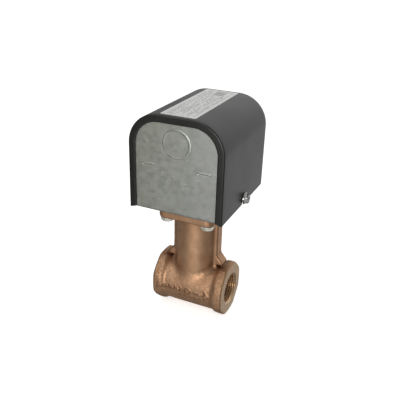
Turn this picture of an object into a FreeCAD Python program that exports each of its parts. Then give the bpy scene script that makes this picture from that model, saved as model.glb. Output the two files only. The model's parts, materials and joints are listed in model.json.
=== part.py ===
import FreeCAD, Part
import math
import os
import re

import Sketcher

# A paddle flow switch on a 3/4 inch bronze pipe tee, in millimetres.
# +X is the direction of flow through the tee, -Y the front of the enclosure, +Z up.
# The origin is at the middle of the flats that the tee's end collars stand on.

SIZES = (
    # The cast tee
    ("tee_length", 61.6, "end to end along the pipe"),
    ("collar_apothem", 22.1, "half across flats of the octagonal end collars"),
    ("collar_corner_radius", 22.9, "turned radius of the collars' corners"),
    ("collar_width", 6.5, "collar width along the pipe"),
    ("collar_chamfer", 0.8, "outer edge of a collar's face"),
    ("run_radius", 20.3, "outside radius of the run between the collars"),
    ("port_radius", 12.55, "pitch radius of the 3/4 inch taper pipe thread"),
    ("port_depth", 19.0, "depth of a threaded port"),
    ("port_chamfer", 0.9, "countersink at a port's mouth"),
    ("waterway_radius", 11.2, "bore between the two ports"),
    ("neck_radius", 17.6, "outside radius of the neck"),
    ("neck_bore_radius", 13.0, "bore of the neck"),
    ("rib_thickness", 15.0, "thickness of the neck's two side ribs"),
    ("rib_reach", 18.5, "from the neck's axis to a rib's outer flat"),
    ("rib_flare_height", 27.4, "above the pipe's axis, where a rib starts to flare"),
    ("rib_foot_reach", 24.6, "from the neck's axis to a rib's foot"),
    ("rib_foot_drop", 3.6, "height of the upright face at a rib's foot"),
    ("rib_round", 1.0, "outer upright edges of a rib"),
    ("cast_fillet", 2.5, "inside corners of the neck with the run and the ribs"),
    ("flange_length", 46.0, "flange along the pipe"),
    ("flange_width", 55.0, "flange across the pipe"),
    ("flange_corner", 6.0, "corner radius of the flange"),
    ("flange_thickness", 7.0, "thickness of the flange"),
    ("flange_bolt_x", 17.0, "flange screws, from the neck's axis along the pipe"),
    ("flange_bolt_y", 21.2, "flange screws, from the neck's axis across the pipe"),
    ("flange_bolt_radius", 3.1, "shank of a flange screw"),
    ("flange_washer_radius", 5.6, "washer face of a flange screw"),
    ("flange_washer_thickness", 0.9, "thickness of that washer face"),
    ("flange_head_apothem", 4.4, "half across flats of a flange screw's head"),
    ("flange_head_height", 2.8, "height of the hexagon"),
    # Between the tee and the enclosure
    ("mounting_height", 79.4, "from the pipe's axis to the enclosure's underside"),
    ("gasket_thickness", 1.0, "body gasket"),
    ("plate_thickness", 5.0, "adapter plate"),
    ("plate_hole_radius", 6.0, "arm's passage through the adapter plate"),
    ("bellows_flange_radius", 11.0, "bellows' top flange"),
    ("bellows_flange_thickness", 0.9, "thickness of that flange"),
    ("bellows_outer_radius", 8.8, "crests of the bellows"),
    ("bellows_inner_radius", 6.2, "roots of the bellows"),
    ("bellows_wall", 0.35, "wall of the bellows"),
    ("bellows_pitch", 3.3, "length of one convolution"),
    # The enclosure
    ("cover_width", 73.9, "outside width of the cover"),
    ("cover_height", 73.5, "height of the cover"),
    ("cover_depth", 87.3, "front to back of the cover"),
    ("cover_corner", 23.5, "radius of the cover's two top corners"),
    ("cover_wall", 1.0, "sheet of the cover"),
    ("cover_edge", 1.3, "outside radius of the bend into a lip"),
    ("lip_width", 4.83, "width of the lips turned in at the front and the back"),
    ("lip_clip", 3.0, "slanted cut at the foot of a lip"),
    ("notch_radius", 4.0, "half width of the notch over a cover screw"),
    ("cover_screw_y", 1.4, "cover screws, behind the middle"),
    ("cover_screw_height", 4.0, "cover screws, above the cover's lower edge"),
    ("cover_screw_radius", 2.0, "shank of a cover screw"),
    ("cover_screw_length", 7.0, "shank of a cover screw inside its washer face"),
    ("cover_screw_washer_radius", 4.8, "washer face of a cover screw"),
    ("cover_screw_washer", 0.9, "thickness of that washer face"),
    ("cover_screw_apothem", 3.6, "half across flats of a cover screw's head"),
    ("cover_screw_head", 2.6, "height of that hexagon"),
    ("label_width", 27.0, "label along the enclosure's width"),
    ("label_depth", 80.0, "label along the enclosure's depth"),
    ("label_thickness", 0.2, "thickness of the label"),
    ("sheet_gauge", 1.2, "sheet of the chassis and the brackets"),
    ("sheet_bend", 2.0, "outside bend radius of the chassis"),
    ("fit_gap", 0.3, "gap between the cover and what it slides over"),
    ("knockout_radius", 11.1, "conduit knockout for a 1/2 inch fitting"),
    ("knockout_height", 54.0, "knockout centre, above the chassis' underside"),
    ("knockout_bead", 0.5, "half width of the bead round the knockout"),
    ("knockout_cut_width", 0.35, "punched line inside the bead"),
    ("knockout_cut_depth", 0.7, "depth of the punched line"),
    ("lance_x", 21.5, "lanced slots, from the middle"),
    ("lance_height", 36.0, "lanced slots, above the chassis' underside"),
    ("lance_length", 9.5, "length of a lanced slot"),
    ("lance_opening", 1.2, "height of a lanced slot"),
    ("lance_rise", 0.6, "how far a lance's lip stands out"),
    ("tab_width", 16.0, "chassis tab behind a cover screw"),
    ("tab_height", 10.0, "height of that tab"),
    ("floor_hole_radius", 7.0, "arm's passage through the chassis floor"),
    # Small fasteners
    ("thread_gap", 0.05, "around a screw in its tapped hole"),
    ("screw_gap", 0.2, "around a screw in its clearance hole"),
    ("chassis_screw_x", 17.5, "chassis screws, along the pipe"),
    ("chassis_screw_y", 14.5, "chassis screws, across the pipe"),
    ("chassis_screw_radius", 2.0, "shank"),
    ("chassis_screw_bite", 4.0, "depth in the adapter plate"),
    ("chassis_head_radius", 3.8, "head"),
    ("chassis_head_height", 2.4, "head"),
    ("small_screw_radius", 1.5, "shank of the brackets' screws"),
    ("small_screw_bite", 2.4, "depth in the adapter plate"),
    ("small_head_radius", 2.8, "head of the brackets' screws"),
    ("small_head_height", 1.9, "head of the brackets' screws"),
    ("driver_slot", 0.8, "width of a screwdriver slot"),
    ("driver_slot_depth", 0.9, "depth of a screwdriver slot"),
    ("ground_screw_x", 22.0, "ground screw, from the middle"),
    ("ground_screw_inset", 12.35, "ground screw, from the front wall's outside"),
    ("ground_washer_radius", 4.6, "washer face of the ground screw"),
    ("ground_head_apothem", 3.6, "half across flats of the ground screw"),
    ("ground_head_height", 3.2, "height of the ground screw's hexagon"),
    # The fulcrum
    ("pivot_height", 7.3, "paddle's pivot, above the chassis floor"),
    ("pin_radius", 1.6, "pivot pin"),
    ("pin_gap", 0.05, "running clearance on the pivot pin"),
    ("pin_length", 25.0, "pivot pin"),
    ("clip_radius", 3.1, "retaining clips"),
    ("clip_thickness", 0.8, "retaining clips"),
    ("lug_gap", 18.0, "between the fulcrum's two lugs"),
    ("lug_radius", 4.5, "round top of a lug"),
    ("fulcrum_back", 15.5, "fulcrum base, upstream of the pivot"),
    ("fulcrum_front", 16.0, "fulcrum base, downstream of the pivot"),
    ("fulcrum_screw_back", 11.5, "its screws upstream of the pivot"),
    ("fulcrum_screw_front", 10.5, "its screws downstream of the pivot"),
    ("fulcrum_screw_y", 5.5, "its screws across the pipe"),
    ("stop_width", 8.0, "upturned stop under the lever"),
    ("stop_gap", 0.2, "between the lever and its stop at rest"),
    # The paddle and its lever
    ("hub_radius", 4.5, "hub of the paddle arm"),
    ("hub_gap", 0.4, "between the hub and a lug"),
    ("hub_flat", 3.5, "flat on top of the hub, above the pivot"),
    ("arm_radius", 2.4, "paddle arm"),
    ("arm_tip_height", 2.5, "lower end of the arm, above the pipe's axis"),
    ("arm_flat", 0.6, "flat that carries the paddle, downstream of the arm's axis"),
    ("arm_flat_length", 15.5, "length of that flat"),
    ("collar_disc_radius", 8.5, "disc on the arm that closes the bellows"),
    ("collar_disc_thickness", 1.8, "thickness of that disc"),
    ("seal_gap", 0.1, "between that disc and the bellows' foot"),
    ("paddle_radius", 9.6, "paddle"),
    ("paddle_thickness", 0.8, "paddle"),
    ("paddle_tang_width", 9.0, "paddle's tang on the arm"),
    ("paddle_tang_height", 16.5, "top of the tang, above the pipe's axis"),
    ("paddle_screw_low", 6.5, "lower paddle screw, above the pipe's axis"),
    ("paddle_screw_step", 6.5, "between the two paddle screws"),
    ("paddle_screw_radius", 1.1, "shank of a paddle screw"),
    ("paddle_head_radius", 2.1, "head of a paddle screw"),
    ("paddle_head_height", 1.3, "head of a paddle screw"),
    ("lever_thickness", 1.6, "switch lever"),
    ("lever_width", 10.0, "switch lever"),
    ("lever_back", 7.0, "lever upstream of the pivot"),
    ("lever_front", 31.5, "lever downstream of the pivot"),
    ("rivet_radius", 1.2, "rivets of the lever"),
    ("rivet_head_radius", 2.1, "rivets of the lever"),
    ("rivet_head_height", 0.9, "rivets of the lever"),
    ("rivet_y", 5.0, "rivets, from the lever's middle"),
    ("rivet_depth", 1.6, "rivets, into the hub"),
    # The snap switch
    ("case_bottom", 10.0, "switch case, above the pivot"),
    ("case_height", 21.5, "switch case without its lid"),
    ("case_length", 49.2, "switch case across the pipe"),
    ("case_thickness", 17.5, "switch case along the pipe"),
    ("case_back", 1.3, "switch case, downstream of the pivot"),
    ("case_edge", 0.8, "rounding of the case"),
    ("lid_height", 2.5, "lid of the switch"),
    ("barrier_height", 5.0, "barriers between the terminals"),
    ("barrier_width", 1.6, "barriers between the terminals"),
    ("terminal_step", 16.5, "between the terminals"),
    ("terminal_width", 11.0, "terminal plate across the pipe"),
    ("terminal_length", 14.0, "terminal plate along the pipe"),
    ("terminal_thickness", 0.8, "terminal plate"),
    ("terminal_screw_radius", 1.7, "shank of a terminal screw"),
    ("terminal_head_radius", 3.4, "head of a terminal screw"),
    ("terminal_head_height", 2.2, "head of a terminal screw"),
    ("plunger_x", 10.0, "plunger, downstream of the pivot"),
    ("plunger_radius", 2.0, "plunger"),
    ("plunger_gap", 0.3, "round the plunger and under its tip"),
    ("plunger_tip_round", 1.4, "rounding of the plunger's tip"),
    ("plunger_top", 12.6, "plunger's upper end, above the pivot"),
    ("guide_depth", 4.5, "plunger's bore in the case"),
    ("guide_boss_radius", 4.2, "boss round the plunger"),
    ("guide_boss_height", 1.6, "boss round the plunger"),
    ("switch_screw_y", 12.7, "switch screws, from the middle"),
    ("switch_screw_height", 8.0, "switch screws, above the case's bottom"),
    ("switch_screw_radius", 1.75, "shank of a switch screw"),
    ("switch_head_radius", 3.1, "head of a switch screw"),
    ("switch_head_height", 2.1, "head of a switch screw"),
    ("insulator_thickness", 0.35, "insulating sheet behind the switch"),
    ("bracket_rise", 7.0, "switch bracket's bridge, above the pivot"),
    ("bracket_margin", 1.2, "switch bracket beyond the case's ends"),
    ("bracket_leg", 10.5, "width of a leg of the switch bracket"),
    ("bracket_foot", 12.0, "length of a foot of the switch bracket"),
    ("bracket_screw_back", 6.5, "foot screws, upstream of the upright"),
    # The range spring
    ("range_x", 26.5, "range screw, downstream of the pivot"),
    ("range_screw_radius", 2.35, "range screw"),
    ("range_screw_tip", 12.0, "range screw's lower end, above the pivot"),
    ("range_head_apothem", 4.0, "half across flats of the range screw's head"),
    ("range_head_height", 4.0, "range screw's head"),
    ("range_collar_radius", 3.8, "collar that keeps the range screw in its bracket"),
    ("range_collar_height", 1.0, "that collar"),
    ("turn_gap", 0.25, "between the range screw and its bracket"),
    ("range_bracket_height", 32.0, "underside of the bracket's top, above the pivot"),
    ("range_bracket_width", 10.0, "range bracket along the pipe"),
    ("range_bracket_y", 7.0, "upright of the range bracket, behind the screw"),
    ("range_bracket_front", 6.0, "bracket's top, in front of the screw"),
    ("range_foot", 12.0, "foot of the range bracket"),
    ("range_foot_screw", 7.0, "its screw, behind the upright"),
    ("nut_width", 8.0, "spring nut along the pipe"),
    ("nut_front", 5.0, "spring nut, in front of the screw"),
    ("nut_thickness", 4.0, "spring nut"),
    ("nut_bottom", 23.0, "spring nut at rest, above the pivot"),
    ("spigot_radius", 3.1, "spigots inside the spring's ends"),
    ("nut_spigot", 2.0, "spigot under the nut"),
    ("seat_radius", 5.0, "spring seat on the lever"),
    ("seat_thickness", 1.0, "spring seat on the lever"),
    ("seat_spigot", 2.4, "spigot on the spring seat"),
    ("spring_radius", 3.95, "range spring, to the middle of its wire"),
    ("spring_wire_radius", 0.45, "wire of the range spring"),
    ("spring_turns", 6.5, "turns of the range spring"),
)

# Places that follow from the sizes, written once and used by name.
PLACES = {
    "pipe_z": "collar_apothem",
    "floor_z": "pipe_z + mounting_height",
    "floor_top": "floor_z + sheet_gauge",
    "plate_z": "floor_z - plate_thickness",
    "flange_top": "plate_z - gasket_thickness",
    "flange_z": "flange_top - flange_thickness",
    "bellows_foot": "plate_z - bellows_flange_thickness - 6 * bellows_pitch",
    "inner_half": "cover_width / 2 - cover_wall",
    "inner_top": "floor_z + cover_height - cover_wall",
    "chassis_half": "inner_half - fit_gap",
    "wall_face": "cover_depth / 2 - cover_wall - fit_gap",
    "wall_top": "inner_top - fit_gap",
    "knockout_z": "floor_z + knockout_height",
    "lance_z": "floor_z + lance_height",
    "cover_screw_z": "floor_z + cover_screw_height",
    "base_top": "floor_top + sheet_gauge",
    "pivot_z": "floor_top + pivot_height",
    "lug_outer": "lug_gap / 2 + sheet_gauge",
    "lever_z": "pivot_z + hub_flat",
    "lever_top": "lever_z + lever_thickness",
    "case_z": "pivot_z + case_bottom",
    "lid_z": "case_z + case_height",
    "terminal_z": "lid_z + lid_height",
    "case_mid": "case_back + case_thickness / 2",
    "bracket_face": "case_back - insulator_thickness",
    "bracket_back": "bracket_face - sheet_gauge",
    "bracket_half": "case_length / 2 + bracket_margin",
    "bracket_screw_y": "bracket_half - bracket_leg / 2",
    "switch_screw_z": "case_z + switch_screw_height",
    "plunger_tip": "lever_top + plunger_gap",
    "range_flange_z": "pivot_z + range_bracket_height",
    "range_flange_top": "range_flange_z + sheet_gauge",
    "nut_z": "pivot_z + nut_bottom",
    "seat_top": "lever_top + seat_thickness",
}

NUMBERS = {alias: number for alias, number, note in SIZES}

doc = FreeCAD.newDocument("PaddleFlowSwitch")
sheet = doc.addObject("Spreadsheet::Sheet", "Sizes")
for row, (alias, number, note) in enumerate(SIZES, 1):
    sheet.set(f"A{row}", alias)
    sheet.set(f"B{row}", str(number))
    sheet.set(f"C{row}", note)
    sheet.setAlias(f"B{row}", alias)
doc.recompute()
probe = doc.addObject("App::VarSet", "Probe")
probe.addProperty("App::PropertyFloat", "Reading")

PIECES = []


def full(expression):
    """The expression with every place written out and every size named on the sheet."""
    def spell(match):
        word = match.group()
        if word in PLACES:
            return "(" + full(PLACES[word]) + ")"
        return "Sizes." + word if word in NUMBERS else word
    return re.sub(r"[a-z][a-z_0-9]*", spell, expression)


def value(expression):
    """The present number of an expression."""
    probe.setExpression("Reading", full(expression))
    probe.recompute()
    return probe.Reading


def spot(x, y):
    return FreeCAD.Vector(value(x), value(y), 0)


# ---- Sketch outlines: each returns a function that draws it into a sketch ----

def constrain(sketch, expression, *what):
    index = sketch.addConstraint(Sketcher.Constraint(*what, value(expression)))
    sketch.setExpression(f"Constraints[{index}]", full(expression))


def hold(sketch, line, end, x, y):
    """Keeps one end of a sketch line at the place (x, y)."""
    for kind, expression, axis in (("DistanceX", x, -2), ("DistanceY", y, -1)):
        if expression == "0":
            sketch.addConstraint(Sketcher.Constraint("PointOnObject", line, end, axis))
        else:
            constrain(sketch, expression, kind, -1, 1, line, end)


def polygon(*points):
    """A closed outline with straight sides. A third entry in a point rounds its right-angled corner."""
    def side(here, there):
        gap = spot(*there[:2]) - spot(*here[:2])
        return [("+" if step > 0 else "-") if abs(step) > 1e-6 else "" for step in (gap.x, gap.y)]

    def moved(point, signs):
        return [f"({place}) {sign} ({point[2]})" if sign else place
                for place, sign in zip(point[:2], signs)]

    def draw(sketch):
        stops = []
        for k, point in enumerate(points):
            if len(point) == 2:
                stops.append((point, None))
                continue
            before = moved(point, side(point, points[k - 1]))
            after = moved(point, side(point, points[(k + 1) % len(points)]))
            stops.append((before, point))
            stops.append((after, None))
        first = sketch.GeometryCount
        count = len(stops)
        for k, (start, corner) in enumerate(stops):
            here = spot(*start)
            there = spot(*stops[(k + 1) % count][0])
            if corner is None:
                sketch.addGeometry(Part.LineSegment(here, there))
            else:
                radius = value(corner[2])
                centre = here + there - spot(*corner[:2])
                middle = centre + (spot(*corner[:2]) - centre).normalize() * radius
                sketch.addGeometry(Part.Arc(here, middle, there))
        ends = []
        for k, (start, corner) in enumerate(stops):
            drawn = sketch.Geometry[first + k]
            flipped = corner is not None and (drawn.StartPoint - spot(*start)).Length > 1e-6
            ends.append((2, 1) if flipped else (1, 2))
        for k, (start, corner) in enumerate(stops):
            after = (k + 1) % count
            joint = Sketcher.Constraint("Coincident", first + k, ends[k][1], first + after, ends[after][0])
            sketch.addConstraint(joint)
            if corner is None:
                hold(sketch, first + k, ends[k][0], *start)
            else:
                hold(sketch, first + k, ends[k][0], *start)
                constrain(sketch, corner[2], "Radius", first + k)
    return draw


def box(x0, y0, x1, y1):
    return polygon((x0, y0), (x1, y0), (x1, y1), (x0, y1))


def rounded_box(half_x, half_y, radius):
    return polygon((f"-({half_x})", f"-({half_y})", radius), (half_x, f"-({half_y})", radius),
                   (half_x, half_y, radius), (f"-({half_x})", half_y, radius))


def arch(half, foot, top, radius):
    """The enclosure's outline: upright sides, a flat top and two round shoulders."""
    return polygon((f"-({half})", foot), (half, foot), (half, top, radius), (f"-({half})", top, radius))


def circle(x, y, radius):
    def draw(sketch):
        index = sketch.addGeometry(Part.Circle(spot(x, y), FreeCAD.Vector(0, 0, 1), value(radius)))
        constrain(sketch, radius, "Radius", index)
        hold(sketch, index, 3, x, y)
    return draw


def regular(x, y, apothem, sides):
    """A regular polygon with one side straight down."""
    points = []
    for k in range(sides):
        turn = 360.0 / sides * (k + 0.5) - 90
        reach = f"({apothem}) / cos({180.0 / sides})"
        points.append((f"({x}) + {reach} * cos({turn})", f"({y}) + {reach} * sin({turn})"))
    return polygon(*points)


# ---- Solid features ----

class Piece:
    """A body whose features run from one place to another along a plane's normal."""

    def __init__(self, label):
        self.body = doc.addObject("PartDesign::Body", label)
        self.body.Label = label
        self.body.AllowCompound = True
        PIECES.append(self.body)

    def sketch(self, plane, offset, outlines):
        drawing = self.body.newObject("Sketcher::SketchObject", "Sketch")
        role = plane + "_Plane"
        face = [item for item in self.body.Origin.OriginFeatures if item.Role == role][0]
        drawing.AttachmentSupport = [(face, "")]
        drawing.MapMode = "FlatFace"
        drawing.setExpression("AttachmentOffset.Base.z", full(offset))
        for outline in outlines:
            outline(drawing)
        return drawing

    def extrude(self, kind, plane, start, end, outlines):
        if value(start) > value(end):
            start, end = end, start
        offset = f"-({start})" if plane == "XZ" else start
        drawing = self.sketch(plane, offset, outlines)
        feature = self.body.newObject(kind, "Feature")
        feature.Profile = drawing
        feature.setExpression("Length", full(f"({end}) - ({start})"))
        feature.Reversed = (plane == "XZ") == (kind == "PartDesign::Pad")
        return feature

    def add(self, plane, start, end, *outlines):
        """Solid between two places along the plane's normal, in the part's own axes."""
        return self.extrude("PartDesign::Pad", plane, start, end, outlines)

    def cut(self, plane, start, end, *outlines):
        """The same, taken away. It must take something away."""
        doc.recompute()
        before = self.body.Shape.Volume
        feature = self.extrude("PartDesign::Pocket", plane, start, end, outlines)
        doc.recompute()
        if self.body.Shape.Volume > before - 1e-4:
            raise ValueError(f"a cut in {self.body.Label} takes nothing away")
        return feature

    def turn(self, kind, plane, offset, axis, *outlines):
        """Revolves outlines about an axis drawn in their own sketch."""
        drawing = self.sketch(plane, offset, outlines)
        (x0, y0), (x1, y1) = axis
        line = drawing.addGeometry(Part.LineSegment(spot(x0, y0), spot(x1, y1)), True)
        hold(drawing, line, 1, x0, y0)
        hold(drawing, line, 2, x1, y1)
        feature = self.body.newObject("PartDesign::" + kind, "Turned")
        feature.Profile = drawing
        feature.ReferenceAxis = (drawing, ["Axis0"])
        feature.Angle = 360
        return feature

    def ease(self, kind, size, chosen):
        """Rounds or chamfers the edges for which chosen(edge) holds."""
        doc.recompute()
        tip = self.body.Tip
        names = [f"Edge{k}" for k, edge in enumerate(tip.Shape.Edges, 1) if chosen(edge)]
        if not names:
            raise ValueError(f"no edge to ease in {self.body.Label}")
        feature = self.body.newObject("PartDesign::" + kind, "Eased")
        feature.Base = (tip, names)
        feature.setExpression("Radius" if kind == "Fillet" else "Size", full(size))
        return feature


def near(number, expression):
    return abs(number - value(expression)) < 1e-3


def corners(x, y):
    return [(sx + x, sy + y) for sx in ("", "-") for sy in ("", "-")]


def round_screws(label, places, plane, seat, tip, shank, head, height, slot=True):
    """Slotted round-head screws side by side: seat is under the head, tip the far end."""
    piece = Piece(label)
    outward = 1 if value(seat) > value(tip) else -1
    crown = f"({seat}) + ({outward}) * ({height})"
    piece.add(plane, tip, seat, *[circle(x, y, shank) for x, y in places])
    piece.add(plane, seat, crown, *[circle(x, y, head) for x, y in places])
    level = value(crown)
    axis = {"XY": "z", "XZ": "y", "YZ": "x"}[plane]
    piece.ease("Chamfer", f"({height}) * 0.3", lambda edge: near(getattr(edge.CenterOfMass, axis), crown)
               and edge.BoundBox.DiagonalLength > value(head))
    if slot:
        piece.cut(plane, f"({crown}) - ({outward}) * driver_slot_depth", crown,
                  *[box(f"({x}) - ({head}) - 1", f"({y}) - driver_slot / 2",
                        f"({x}) + ({head}) + 1", f"({y}) + driver_slot / 2") for x, y in places])
    return piece


# ---- The wetted end ----

FLANGE_BOLTS = corners("flange_bolt_x", "flange_bolt_y")
CHASSIS_SCREWS = corners("chassis_screw_x", "chassis_screw_y")
FULCRUM_SCREWS = [(x, y) for x in ("-fulcrum_screw_back", "fulcrum_screw_front")
                  for y in ("fulcrum_screw_y", "-fulcrum_screw_y")]
BRACKET_SCREWS = [("bracket_back - bracket_screw_back", sign + "(bracket_screw_y)") for sign in ("", "-")]
GROUND_SCREW = ("ground_screw_x", "-(wall_face) + ground_screw_inset")
RANGE_FOOT_SCREW = ("range_x", "range_bracket_y + sheet_gauge + range_foot_screw")


def upright(edge):
    return edge.BoundBox.DiagonalLength - edge.BoundBox.ZLength < 1e-3


def inside_corner(edge):
    """Whether an edge lies where the neck leaves the run or where a rib leaves the neck."""
    middle = edge.valueAt((edge.FirstParameter + edge.LastParameter) / 2)
    on_neck = near(math.hypot(middle.x, middle.y), "neck_radius")
    on_run = near(math.hypot(middle.y, middle.z - value("pipe_z")), "run_radius")
    on_rib = near(abs(middle.y), "rib_thickness / 2") and upright(edge)
    return on_neck and middle.z > value("pipe_z") and (on_run or on_rib)


def tee_body():
    """One casting: run with octagonal collars, ribbed neck and bolted flange."""
    tee = Piece("tee_body")
    half = "tee_length / 2"
    shoulder = f"({half} - collar_width)"
    tee.add("YZ", f"-{shoulder}", shoulder, circle("0", "pipe_z", "run_radius"))
    for near_end, far_end in ((f"-{half}", f"-{shoulder}"), (shoulder, half)):
        tee.add("YZ", near_end, far_end, regular("0", "pipe_z", "collar_apothem", 8))
    # The collars' corners and outer edges are turned on a lathe.
    span = "collar_apothem * 1.2"
    lathe_start = f"{shoulder} - 1"
    for sign in ("-", ""):
        tee.turn("Groove", "XZ", "0", (("0", "pipe_z"), ("1", "pipe_z")),
                 polygon((f"{sign}({lathe_start})", "pipe_z + collar_corner_radius"),
                         (f"{sign}({half} - collar_chamfer)", "pipe_z + collar_corner_radius"),
                         (f"{sign}({half})", "pipe_z + collar_corner_radius - 2 * collar_chamfer"),
                         (f"{sign}({half} + 1)", "pipe_z + collar_corner_radius - 2 * collar_chamfer"),
                         (f"{sign}({half} + 1)", f"pipe_z + {span}"),
                         (f"{sign}({lathe_start})", f"pipe_z + {span}")))
    tee.add("XY", "pipe_z", "flange_z", circle("0", "0", "neck_radius"))
    foot = "pipe_z + rib_flare_height - (rib_foot_reach - rib_reach)"
    tee.add("XZ", "-rib_thickness / 2", "rib_thickness / 2",
            polygon(("-rib_reach", "flange_z"), ("-rib_reach", "pipe_z + rib_flare_height"),
                    ("-rib_foot_reach", foot), ("-rib_foot_reach", f"{foot} - rib_foot_drop"),
                    ("rib_foot_reach", f"{foot} - rib_foot_drop"), ("rib_foot_reach", foot),
                    ("rib_reach", "pipe_z + rib_flare_height"), ("rib_reach", "flange_z")))
    tee.ease("Fillet", "cast_fillet", inside_corner)
    tee.ease("Fillet", "rib_round", lambda edge: near(abs(edge.CenterOfMass.x), "rib_reach")
             and near(abs(edge.CenterOfMass.y), "rib_thickness / 2") and upright(edge))
    tee.add("XY", "flange_z", "flange_top",
            rounded_box("flange_length / 2", "flange_width / 2", "flange_corner"))
    tee.cut("YZ", f"-{half}", half, circle("0", "pipe_z", "waterway_radius"))
    tee.cut("YZ", f"-{half}", f"-{half} + port_depth", circle("0", "pipe_z", "port_radius"))
    tee.cut("YZ", f"{half} - port_depth", half, circle("0", "pipe_z", "port_radius"))
    tee.cut("XY", "pipe_z", "flange_top", circle("0", "0", "neck_bore_radius"))
    tee.cut("XY", "flange_z", "flange_top",
            *[circle(x, y, "flange_bolt_radius + screw_gap") for x, y in FLANGE_BOLTS])
    tee.ease("Chamfer", "port_chamfer", lambda edge: near(abs(edge.CenterOfMass.x), half)
             and near(edge.BoundBox.ZLength, "2 * port_radius"))


def body_gasket():
    gasket = Piece("body_gasket")
    gasket.add("XY", "flange_top", "plate_z",
               rounded_box("flange_length / 2", "flange_width / 2", "flange_corner"),
               circle("0", "0", "neck_bore_radius"),
               *[circle(x, y, "flange_bolt_radius + screw_gap") for x, y in FLANGE_BOLTS])


def adapter_plate():
    """Machined plate that closes the neck, carries the bellows and takes every screw above it."""
    plate = Piece("adapter_plate")
    plate.add("XY", "plate_z", "floor_z",
              rounded_box("flange_length / 2", "flange_width / 2", "flange_corner"),
              circle("0", "0", "plate_hole_radius"),
              *[circle(x, y, "flange_bolt_radius + thread_gap") for x, y in FLANGE_BOLTS])
    plate.cut("XY", "floor_z - chassis_screw_bite", "floor_z",
              *[circle(x, y, "chassis_screw_radius + thread_gap") for x, y in CHASSIS_SCREWS])
    plate.cut("XY", "floor_z - small_screw_bite", "floor_z",
              *[circle(x, y, "small_screw_radius + thread_gap") for x, y in FULCRUM_SCREWS + BRACKET_SCREWS])


def flange_screws():
    """Four hexagon screws from below, through flange and gasket into the adapter plate."""
    screws = Piece("flange_screws")
    washer = "flange_z - flange_washer_thickness"
    crown = f"{washer} - flange_head_height"
    screws.add("XY", "flange_z", "floor_z", *[circle(x, y, "flange_bolt_radius") for x, y in FLANGE_BOLTS])
    screws.add("XY", washer, "flange_z", *[circle(x, y, "flange_washer_radius") for x, y in FLANGE_BOLTS])
    screws.add("XY", crown, washer, *[regular(x, y, "flange_head_apothem", 6) for x, y in FLANGE_BOLTS])
    screws.ease("Chamfer", "flange_head_height / 6", lambda edge: near(edge.CenterOfMass.z, crown))


def bellows():
    """Thin corrugated seal between the adapter plate and the disc on the paddle arm."""
    seal = Piece("bellows")
    top = "plate_z - bellows_flange_thickness"
    outside = []
    for k in range(6):
        outside.append(("bellows_inner_radius", f"{top} - {k} * bellows_pitch"))
        outside.append(("bellows_outer_radius", f"{top} - {k + 0.5} * bellows_pitch"))
    outside.append(("bellows_inner_radius", "bellows_foot"))
    inside = [(f"{radius} - bellows_wall", height) for radius, height in reversed(outside)]
    inside.append((inside[-1][0], "plate_z"))
    rim = [("bellows_flange_radius", "plate_z"), ("bellows_flange_radius", top)]
    seal.turn("Revolution", "XZ", "0", (("0", "0"), ("0", "1")), polygon(*(rim + outside + inside)))


def paddle_arm():
    """Turned arm with a cross hub on the pivot pin, the bellows' disc and a flat for the paddle."""
    arm = Piece("paddle_arm")
    tip = "pipe_z + arm_tip_height"
    disc_top = "bellows_foot - seal_gap"
    arm.add("XY", tip, "pivot_z", circle("0", "0", "arm_radius"))
    arm.add("XY", f"{disc_top} - collar_disc_thickness", disc_top, circle("0", "0", "collar_disc_radius"))
    reach = "(lug_gap / 2 - hub_gap)"
    arm.add("XZ", f"-{reach}", reach, circle("0", "pivot_z", "hub_radius"))
    arm.cut("XZ", f"-{reach}", reach, box("-hub_radius", "lever_z", "hub_radius", "pivot_z + hub_radius"))
    arm.cut("XZ", f"-{reach}", reach, circle("0", "pivot_z", "pin_radius + pin_gap"))
    arm.cut("XY", "lever_z - rivet_depth", "lever_z",
            *[circle("0", sign + "rivet_y", "rivet_radius") for sign in ("", "-")])
    arm.cut("XY", tip, f"{tip} + arm_flat_length",
            box("arm_flat", "-arm_radius", "arm_radius + 1", "arm_radius"))
    arm.cut("YZ", "-arm_radius", "arm_flat",
            *[circle("0", z, "paddle_screw_radius + thread_gap") for z in PADDLE_SCREWS])


PADDLE_SCREWS = ("pipe_z + paddle_screw_low", "pipe_z + paddle_screw_low + paddle_screw_step")


def paddle():
    """Round leaf in the pipe with a tang on the arm's flat."""
    leaf = Piece("paddle")
    back = "arm_flat + paddle_thickness"
    leaf.add("YZ", "arm_flat", back, circle("0", "pipe_z", "paddle_radius"))
    leaf.add("YZ", "arm_flat", back,
             polygon(("-paddle_tang_width / 2", "pipe_z"), ("paddle_tang_width / 2", "pipe_z"),
                     ("paddle_tang_width / 2", "pipe_z + paddle_tang_height", "paddle_tang_width / 6"),
                     ("-paddle_tang_width / 2", "pipe_z + paddle_tang_height", "paddle_tang_width / 6")))
    leaf.cut("YZ", "arm_flat", back, *[circle("0", z, "paddle_screw_radius + thread_gap") for z in PADDLE_SCREWS])


def paddle_screws():
    round_screws("paddle_screws", [("0", z) for z in PADDLE_SCREWS], "YZ", "arm_flat + paddle_thickness",
                 "-arm_radius", "paddle_screw_radius", "paddle_head_radius", "paddle_head_height", slot=False)


# ---- The lever and its fulcrum ----

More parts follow.
